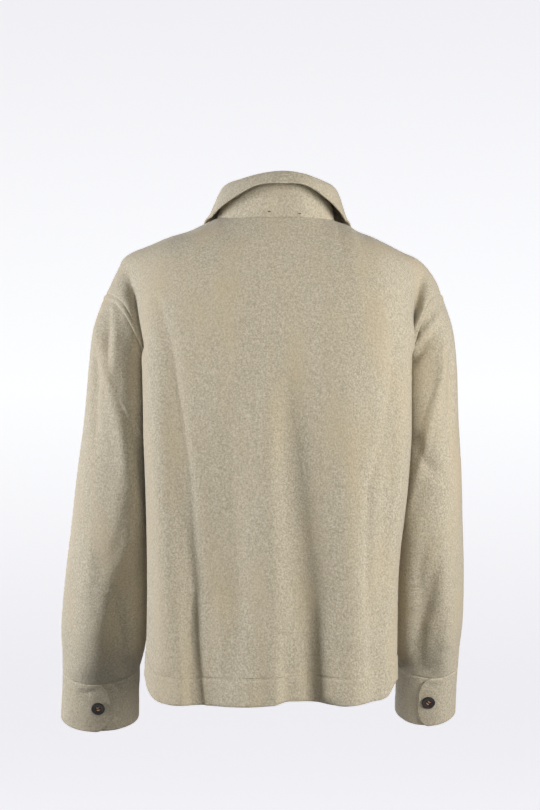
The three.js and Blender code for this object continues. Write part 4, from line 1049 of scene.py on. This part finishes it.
def collarWall(name, fromWay, toWay, rows):
    turns = np.linspace(-collar["end"], collar["end"], collar["columns"])
    outer = collarGrid(turns, np.linspace(fromWay, toWay, rows))
    if toWay > collar["rollWay"]:
        outer = softened(outer, collar["softening"])
    normal = gridNormals(outer, False, -1)
    if fromWay == 0:
        normal[0] = unit(normal[0] * (1, 1, 0))
    move = torso["nap"] * napHeight(outer, torso["napSize"], 4)
    move[0] = 0
    outer = outer + normal * move[..., None]
    inner = outer - normal * collar["thickness"]
    collarFaces[name] = (outer.copy(), normal)
    if fromWay == 0:
        outer[0, :, 2] -= collar["intoNeck"]
        inner[0, :, 2] -= collar["intoNeck"]
    return wallMesh(name, outer, inner)


collarStandCloth = collarWall("collar_stand_cloth", 0, 1, 12)
collarLeafCloth = collarWall("collar_leaf_cloth", 1, 5, 44)
print("cuffs and collar built")

# Two small tacks that hold the stand at the back of the neck, as (x, z)
tack = {
    "places": [(-36, 0.2), (6.6, 0.4)], "length": 6.6,
    "stitch": {"length": 4.6, "gap": 1.1, "width": 1.7, "height": 1.2, "lift": 0.45},
}


# A short line across the stand at the place nearest to a tack, on the back half of the neck
def tackRun(place):
    grid, normals = collarFaces["collar_stand_cloth"]
    away = np.hypot(grid[..., 0] - place[0], grid[..., 2] - place[1]) + np.where(grid[..., 1] > 0, 0, 1000)
    at = np.unravel_index(np.argmin(away), away.shape)
    centre, normal = grid[at], normals[at]
    across = unit(np.cross(normal, (0, 0, 1)))
    reach = np.linspace(-tack["length"] / 2, tack["length"] / 2, 5)[:, None]
    return centre + across * reach, np.repeat(normal[None], 5, axis=0)


seamStitches = {
    name: stitches(name, [run for run in runs if len(run[0]) > 3]) for name, runs in stitchLines.items()}
tacks = stitches("collar_tacks", [tackRun(place) for place in tack["places"]], tack["stitch"])
print("seams stitched")


# Colours are sRGB hex values, turned to linear here
def linear(hexColour):
    channels = [int(hexColour[i:i + 2], 16) / 255 for i in (1, 3, 5)]
    return [c / 12.92 if c <= 0.04045 else ((c + 0.055) / 1.055) ** 2.4 for c in channels] + [1.0]


# Adds one node with its settings and the links that come into it
def addNode(material, kind, settings=None, links=None, **attributes):
    nodes = material.node_tree.nodes
    node = nodes.new(kind)
    for name, value in attributes.items():
        setattr(node, name, value)
    for name, value in (settings or {}).items():
        node.inputs[name].default_value = value
    for name, socket in (links or {}).items():
        material.node_tree.links.new(socket, node.inputs[name])
    return node


def newMaterial(name):
    material = bpy.data.materials.new(name)
    material.use_nodes = True
    material.node_tree.nodes.clear()
    return material


def finished(material, shader):
    output = addNode(material, "ShaderNodeOutputMaterial")
    material.node_tree.links.new(shader.outputs[0], output.inputs["Surface"])
    return material


# Sizes are in millimetres. A single hair of 0.03 mm is too fine to show, so tufts of nap 1 mm wide are drawn.
woolLook = {
    "base": "#b2a994", "light": "#c7bea9", "dark": "#9a917c", "warm": "#b9aa8d", "sheen": "#d9d5da",
    "mottleSize": 2.6, "crinkleSize": 5.5, "cloudSize": 48, "cloudLength": 190, "fibreWidth": 1.0, "fibreLength": 5,
    "bump": 0.9, "crinkle": 1.0,
}


# Brushed wool: a felted face with a short nap, which gives the eye a fine crinkled grain with fibres running down the
# cloth, slow warm and cool drifts over a hand's width, and a pale sheen where it is seen edge on
def woolMaterial(name, look):
    material = newMaterial(name)
    links = material.node_tree.links
    place = addNode(material, "ShaderNodeTexCoord").outputs["Object"]
    perMetre = lambda size: 1 / (size * mm)
    mottle = addNode(material, "ShaderNodeTexNoise", {
        "Scale": perMetre(look["mottleSize"]), "Detail": 3.0, "Roughness": 0.65}, {"Vector": place})
    crinkle = addNode(material, "ShaderNodeTexNoise", {
        "Scale": perMetre(look["crinkleSize"]), "Detail": 2.0, "Roughness": 0.55, "Distortion": 0.8,
    }, {"Vector": place})
    hang = addNode(material, "ShaderNodeMapping", {
        "Scale": (1, 1, look["cloudSize"] / look["cloudLength"])}, {"Vector": place})
    cloud = addNode(material, "ShaderNodeTexNoise", {
        "Scale": perMetre(look["cloudSize"]), "Detail": 2.0}, {"Vector": hang.outputs["Vector"]})
    squeeze = addNode(material, "ShaderNodeMapping", {
        "Scale": (1, 1, look["fibreWidth"] / look["fibreLength"]), "Rotation": (0.1, 0.3, 0)}, {"Vector": place})
    fibre = addNode(material, "ShaderNodeTexNoise", {
        "Scale": perMetre(look["fibreWidth"]), "Detail": 2.0, "Roughness": 0.7}, {"Vector": squeeze.outputs["Vector"]})
    colours = addNode(material, "ShaderNodeValToRGB", None, {"Fac": mottle.outputs["Fac"]})
    shades = colours.color_ramp
    shades.elements[0].position, shades.elements[0].color = 0.3, linear(look["dark"])
    shades.elements[1].position, shades.elements[1].color = 0.7, linear(look["light"])
    shades.elements.new(0.5).color = linear(look["base"])
    drift = addNode(material, "ShaderNodeMapRange", {
        "From Min": 0.45, "From Max": 0.75, "To Min": 0.0, "To Max": 0.6}, {"Value": cloud.outputs["Fac"]})
    warmed = addNode(material, "ShaderNodeMix", {"B": linear(look["warm"])},
                     {"Factor": drift.outputs["Result"]}, data_type="RGBA")
    links.new(colours.outputs["Color"], warmed.inputs["A"])
    fibreShade = addNode(material, "ShaderNodeMapRange", {
        "From Min": 0.3, "From Max": 0.7, "To Min": 0.9, "To Max": 1.09}, {"Value": fibre.outputs["Fac"]})
    tint = addNode(material, "ShaderNodeVectorMath", None, {"Scale": fibreShade.outputs["Result"]}, operation="SCALE")
    links.new(warmed.outputs["Result"], tint.inputs[0])
    heights = addNode(material, "ShaderNodeMath", operation="ADD")
    links.new(mottle.outputs["Fac"], heights.inputs[0])
    links.new(fibre.outputs["Fac"], heights.inputs[1])
    lumps = addNode(material, "ShaderNodeBump", {
        "Strength": 0.7, "Distance": look["crinkle"] * mm}, {"Height": crinkle.outputs["Fac"]})
    bump = addNode(material, "ShaderNodeBump", {"Strength": 0.7, "Distance": look["bump"] * mm},
                   {"Height": heights.outputs["Value"], "Normal": lumps.outputs["Normal"]})
    shader = addNode(material, "ShaderNodeBsdfPrincipled", {
        "Roughness": 0.95, "Sheen Weight": 0.22, "Sheen Roughness": 0.4, "Sheen Tint": linear(look["sheen"]),
        "Specular IOR Level": 0.15,
    }, {"Base Color": tint.outputs["Vector"], "Normal": bump.outputs["Normal"]})
    return finished(material, shader)


wool = woolMaterial("brushed_wool", woolLook)

hornLook = {
    "base": "#1d1817", "streak": "#43342b", "streakWidth": 1.8, "streakLength": 9, "polish": 0.32, "bump": 0.05,
}


# Polished dark horn: almost black, with brown streaks one way and a soft uneven shine
def hornMaterial(name, look):
    material = newMaterial(name)
    place = addNode(material, "ShaderNodeTexCoord").outputs["Object"]
    stretch = addNode(material, "ShaderNodeMapping", {
        "Scale": (look["streakWidth"] / look["streakLength"], 1, 1), "Rotation": (0, 0.6, 0.2)}, {"Vector": place})
    streaks = addNode(material, "ShaderNodeTexNoise", {
        "Scale": 1 / (look["streakWidth"] * mm), "Detail": 4.0, "Distortion": 0.6,
    }, {"Vector": stretch.outputs["Vector"]})
    colours = addNode(material, "ShaderNodeValToRGB", None, {"Fac": streaks.outputs["Fac"]})
    shades = colours.color_ramp
    shades.elements[0].position, shades.elements[0].color = 0.48, linear(look["base"])
    shades.elements[1].position, shades.elements[1].color = 0.78, linear(look["streak"])
    shine = addNode(material, "ShaderNodeMapRange", {
        "To Min": look["polish"] - 0.08, "To Max": look["polish"] + 0.12}, {"Value": streaks.outputs["Fac"]})
    bump = addNode(material, "ShaderNodeBump", {
        "Strength": 0.4, "Distance": look["bump"] * mm}, {"Height": streaks.outputs["Fac"]})
    shader = addNode(material, "ShaderNodeBsdfPrincipled", {"IOR": 1.54, "Specular IOR Level": 0.14}, {
        "Base Color": colours.outputs["Color"], "Roughness": shine.outputs["Result"],
        "Normal": bump.outputs["Normal"],
    })
    return finished(material, shader)


# The real twist turns about once a millimetre, too fine to show, so its bands are drawn coarser
threadLook = {"twist": 2.2, "bump": 0.08}


# Spun thread: dull, with the twist showing as fine bands across it
def threadMaterial(name, light, dark):
    material = newMaterial(name)
    place = addNode(material, "ShaderNodeTexCoord").outputs["Object"]
    twist = addNode(material, "ShaderNodeTexWave", {
        "Scale": 1 / (threadLook["twist"] * mm), "Distortion": 2.0}, {"Vector": place})
    colours = addNode(material, "ShaderNodeValToRGB", None, {"Fac": twist.outputs["Fac"]})
    colours.color_ramp.elements[0].color = linear(dark)
    colours.color_ramp.elements[1].color = linear(light)
    bump = addNode(material, "ShaderNodeBump", {
        "Strength": 0.5, "Distance": threadLook["bump"] * mm}, {"Height": twist.outputs["Fac"]})
    shader = addNode(material, "ShaderNodeBsdfPrincipled", {"Roughness": 0.75, "Sheen Weight": 0.15}, {
        "Base Color": colours.outputs["Color"], "Normal": bump.outputs["Normal"]})
    return finished(material, shader)


horn = hornMaterial("dark_horn", hornLook)
buttonThread = threadMaterial("tan_button_thread", "#c69c72", "#8d6440")
seamThread = threadMaterial("seam_thread", "#b3a68f", "#8f836d")
tackThread = threadMaterial("brown_tack_thread", "#4c4037", "#2c241f")

# Four-hole buttons: a dished middle inside a rolled rim. The profile is in shares of the solid's radius and thickness.
button = {
    "segments": 64, "holeRadius": 1.1, "holeReach": 2.7, "holeSides": 20, "holeAngles": (45, 135, 225, 315),
    "strands": 3, "strandRadius": 0.36, "strandLift": 0.75, "strandOver": (0.12, 0.9), "strandSink": 0.1,
    "profile": [(0, 0.6), (0.42, 0.6), (0.52, 0.64), (0.64, 0.86), (0.74, 0.98), (0.86, 1), (0.94, 0.92),
                (0.99, 0.72), (1, 0.5), (0.97, 0.26), (0.88, 0.08), (0.6, 0), (0, 0)],
    "cuffTurns": {"button_cuff_left": 8, "button_cuff_right": -38}, "frontTurn": 90,
}


def latheMesh(name, profile, segments):
    ring = profile[1:-1]
    last = len(ring) - 1
    angles = np.arange(segments) * 2 * math.pi / segments
    points = [(0, 0, profile[0][1]), (0, 0, profile[-1][1])]
    points += [(r * math.cos(a), r * math.sin(a), h) for r, h in ring for a in angles]
    at = lambda i, k: 2 + i * segments + k % segments
    faces = [(0, at(0, k), at(0, k + 1)) for k in range(segments)]
    faces += [(at(i, k), at(i + 1, k), at(i + 1, k + 1), at(i, k + 1)) for i in range(last) for k in range(segments)]
    faces += [(1, at(last, k + 1), at(last, k)) for k in range(segments)]
    mesh = bpy.data.meshes.new(name)
    mesh.from_pydata(points, [], faces)
    return smoothShaded(mesh)


# A strand of thread along points, closed at both ends
def strandParts(points, radius, sides=8):
    points = np.asarray(points, float)
    along = unit(np.gradient(points, axis=0))
    side = unit(np.cross(along, (0.3, 0.2, 1)))
    up = np.cross(side, along)
    size = radius * np.sin(np.linspace(0.12, math.pi - 0.12, len(points))) ** 0.35
    turn = np.arange(sides) * 2 * math.pi / sides
    rings = points[:, None] + size[:, None, None] * (
        np.cos(turn)[None, :, None] * side[:, None] + np.sin(turn)[None, :, None] * up[:, None])
    return rings.reshape(-1, 3), tubeFaces(len(points), sides)


# Where a button's solid lies: a function that puts points there, the solid's radius and its thickness
def buttonPlace(node, outwards):
    solid = np.array([vertex.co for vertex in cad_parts[node].data.vertices]) / mm
    centre = (solid.min(axis=0) + solid.max(axis=0)) / 2
    spread = solid - solid.mean(axis=0)
    axis = np.linalg.svd(spread, full_matrices=False)[2][2]
    axis = axis if axis @ outwards > 0 else -axis
    height = (solid - centre) @ axis
    low, tall = height.min(), height.max() - height.min()
    radius = np.linalg.norm(solid - centre - np.outer(height, axis), axis=1).max()
    side = unit(np.cross((0, 0, 1), axis))
    turned = np.stack([side, np.cross(axis, side), axis], axis=1)
    return lambda points: (np.asarray(points) @ turned.T + centre + axis * low) * mm, radius, tall


def drillHole(piece, place, x, y, tall):
    radius = button["holeRadius"]
    drill = latheMesh("drill", [(0, tall * 2), (radius, tall * 2), (radius, 0), (0, 0)], button["holeSides"])
    for vertex in drill.vertices:
        vertex.co = place([vertex.co + Vector((x, y, -tall / 2))])[0]
    cutter = addObject("drill", drill)
    cut = piece.modifiers.new("hole", "BOOLEAN")
    cut.object, cut.operation, cut.solver = cutter, "DIFFERENCE", "EXACT"
    bpy.context.view_layer.update()
    drilled = bpy.data.meshes.new_from_object(piece.evaluated_get(bpy.context.evaluated_depsgraph_get()))
    piece.modifiers.clear()
    piece.data = drilled
    bpy.data.objects.remove(cutter)


# Strands over the face from hole to hole, which dive in at both ends
def sewButton(name, place, corners, face):
    over, dive = button["strandOver"]
    share = np.linspace(-over, 1 + over, 13)
    height = face + button["strandLift"] * np.sin(np.clip(share, 0, 1) * math.pi) ** 0.5
    height = height - np.where((share < 0) | (share > 1), dive, button["strandSink"])
    points, faces = [], []
    for start, end in ((corners[0], corners[1]), (corners[3], corners[2])):
        start, end = np.array(start), np.array(end)
        across = np.array([start[1] - end[1], end[0] - start[0]]) / np.linalg.norm(end - start)
        for k in range(button["strands"]):
            offset = across * (k - (button["strands"] - 1) / 2) * button["strandRadius"] * 1.5
            line = [(*(lerp(start, end, t) + offset), h) for t, h in zip(share, height)]
            strand, quads = strandParts(line, button["strandRadius"])
            faces += [[v + sum(len(p) for p in points) for v in quad] for quad in quads]
            points.append(place(strand))
    return quadMesh(name, np.vstack(points), np.array(faces))


def buttonPiece(node, outwards, threadTurn):
    place, radius, tall = buttonPlace(node, outwards)
    mesh = latheMesh(node + "_horn", [(r * radius, h * tall) for r, h in button["profile"]], button["segments"])
    for vertex in mesh.vertices:
        vertex.co = place([vertex.co])[0]
    piece = addObject(node + "_horn", mesh)
    angles = np.radians(threadTurn + np.array(button["holeAngles"]))
    corners = [(math.cos(a) * button["holeReach"], math.sin(a) * button["holeReach"]) for a in angles]
    for x, y in corners:
        drillHole(piece, place, x, y, tall)
    smoothShaded(piece.data)
    return piece, sewButton(node + "_thread", place, corners, button["profile"][0][1] * tall)


def boxMiddle(node):
    low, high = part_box(node)
    return (np.array(low) + np.array(high)) / 2


buttons = {}
for node in [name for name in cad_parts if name.startswith("button_")]:
    onCuff = node.startswith("button_cuff")
    outwards = boxMiddle(node) - boxMiddle(node.replace("button_", "")) if onCuff else np.array([0, -1, 0])
    buttons[node] = buttonPiece(node, outwards, button["cuffTurns"].get(node, button["frontTurn"]))
print("buttons drilled and sewn")

# Every cloth, by the solid it stands for: its flat cut in metres, and the cut's area where it isn't a rectangle
clothPieces = {
    "back": (backCloth, (0.53, 0.77), 0.387),
    "front_left": (frontLeftCloth, (0.29, 0.76), 0.19),
    "front_right": (frontRightCloth, (0.29, 0.76), 0.187),
    "sleeve_left": (sleeveLeftCloth, (0.47, 0.58), 0.195),
    "sleeve_right": (sleeveRightCloth, (0.47, 0.56), 0.178),
    "cuff_left": (cuffLeftCloth, (0.385, 0.08), None),
    "cuff_right": (cuffRightCloth, (0.34, 0.08), None),
    "collar_stand": (collarStandCloth, (0.48, 0.03), None),
    "collar_leaf": (collarLeafCloth, (0.62, 0.08), 0.047),
}


def dress(piece, material, node=None):
    piece.data.materials.clear()
    piece.data.materials.append(material)
    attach(piece, "root")
    if node:
        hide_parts(node)


for node, (piece, flat, area) in clothPieces.items():
    dress(piece, wool, node)
    sewn = seamStitches.get(node + "_stitches")
    if sewn:
        dress(sewn, seamThread)
    held = "hung" if "collar" not in node else "folded"
dress(tacks, tackThread)
for node, (piece, thread) in buttons.items():
    dress(piece, horn, node)
    dress(thread, buttonThread)
print("every piece rides on the jacket")

# Camera at the photograph's view, from behind and level. A pixel is 1.45 mm at the middle of the body.
view = {"distance": 3.6, "aim": (0.0058, 0, -0.2726), "pixel": 1.45, "longSide": 810, "sensor": 36}
camera = addObject("camera", bpy.data.cameras.new("camera"))
camera.data.sensor_width = view["sensor"]
camera.data.lens = view["sensor"] * view["distance"] / (view["longSide"] * view["pixel"] * mm)
camera.location = Vector(view["aim"]) + Vector((0, view["distance"], 0))
camera.rotation_euler = (math.pi / 2, 0, math.pi)
bpy.context.scene.camera = camera
bpy.context.scene.view_settings.view_transform = "Standard"

# A pale paper floor that turns up far out and glows softly, in metres, and a faint light all round. The profile is
# (radius, height).
studio = {
    "floorZ": -1.5, "glowTopZ": 2.2, "glowStrength": 0.9, "sides": 96, "rings": 40,
    "colour": "#e4e5ea", "low": "#e7e6ea", "middle": "#f9fafb", "high": "#e7e6ea",
    "roundColour": "#eef0f6", "roundStrength": 0.08,
    "profile": [(0.01, 0), (3, 0), (6, 0), (7.5, 0.15), (8.5, 0.8), (9, 2), (9, 6)],
}


def bowl():
    sides = studio["sides"]
    line = curvePoints([(r, 0, z) for r, z in studio["profile"]], False, np.linspace(0, 1, studio["rings"]))
    turn = np.linspace(0, 2 * math.pi, sides, endpoint=False)
    points = [(r * math.cos(a), r * math.sin(a), z + studio["floorZ"]) for r, _, z in line for a in turn]
    faces = tubeFaces(len(line), sides) + [tuple(range(sides))[::-1]]
    mesh = bpy.data.meshes.new("floor")
    mesh.from_pydata(points, [], faces)
    floor = addObject("floor", smoothShaded(mesh))
    paper = newMaterial("studio_paper")
    place = addNode(paper, "ShaderNodeTexCoord").outputs["Object"]
    height = addNode(paper, "ShaderNodeSeparateXYZ", None, {"Vector": place}).outputs["Z"]
    share = addNode(paper, "ShaderNodeMapRange", {
        "From Min": studio["floorZ"], "From Max": studio["glowTopZ"]}, {"Value": height})
    glow = addNode(paper, "ShaderNodeValToRGB", None, {"Fac": share.outputs["Result"]})
    glow.color_ramp.elements[0].color = linear(studio["low"])
    glow.color_ramp.elements[1].color = linear(studio["high"])
    glow.color_ramp.elements.new(0.35).color = linear(studio["middle"])
    shader = addNode(paper, "ShaderNodeBsdfPrincipled", {
        "Base Color": linear(studio["colour"]), "Roughness": 0.9, "Emission Strength": studio["glowStrength"],
    }, {"Emission Color": glow.outputs["Color"]})
    mesh.materials.append(finished(paper, shader))
    floor.visible_shadow = False
    floor.visible_diffuse = False


bowl()

# Softboxes at a turn in degrees round the jacket, seen from above: 0 is behind the camera, positive to the picture's
# left. Lengths are in metres and power in watts.
softboxes = table(
    "name turn distance height width tall power colour",
    ("softbox_left", 81, 2.4, -0.1, 0.7, 1.8, 72, "#f8f9ff"),
    ("softbox_far_right", -84, 2.4, -0.1, 0.8, 1.8, 22, "#fdfcff"),
    ("softbox_right", -47, 2.8, 0.1, 1.0, 1.8, 70, "#fffdfb"),
    ("softbox_camera", 2, 3.4, 0.35, 1.3, 1.3, 30, "#ffffff"),
    ("softbox_front", 165, 3.0, 0.4, 1.6, 2.0, 90, "#fffdfa"),
)
lampTarget = Vector((0, 0, -0.35))
for box in softboxes:
    light = bpy.data.lights.new(box["name"], "AREA")
    light.shape, light.size, light.size_y = "RECTANGLE", box["width"], box["tall"]
    light.energy, light.color = box["power"], linear(box["colour"])[:3]
    lamp = addObject(box["name"], light)
    angle = math.radians(box["turn"])
    lamp.location = (math.sin(angle) * box["distance"], math.cos(angle) * box["distance"], box["height"])
    lamp.rotation_euler = (lampTarget - lamp.location).to_track_quat("-Z", "Y").to_euler()
    lamp.visible_camera = False
world = bpy.data.worlds.new("studio_light")
bpy.context.scene.world = world
world.use_nodes = True
background = world.node_tree.nodes["Background"].inputs
background["Color"].default_value = linear(studio["roundColour"])
background["Strength"].default_value = studio["roundStrength"]

print("scene ready")
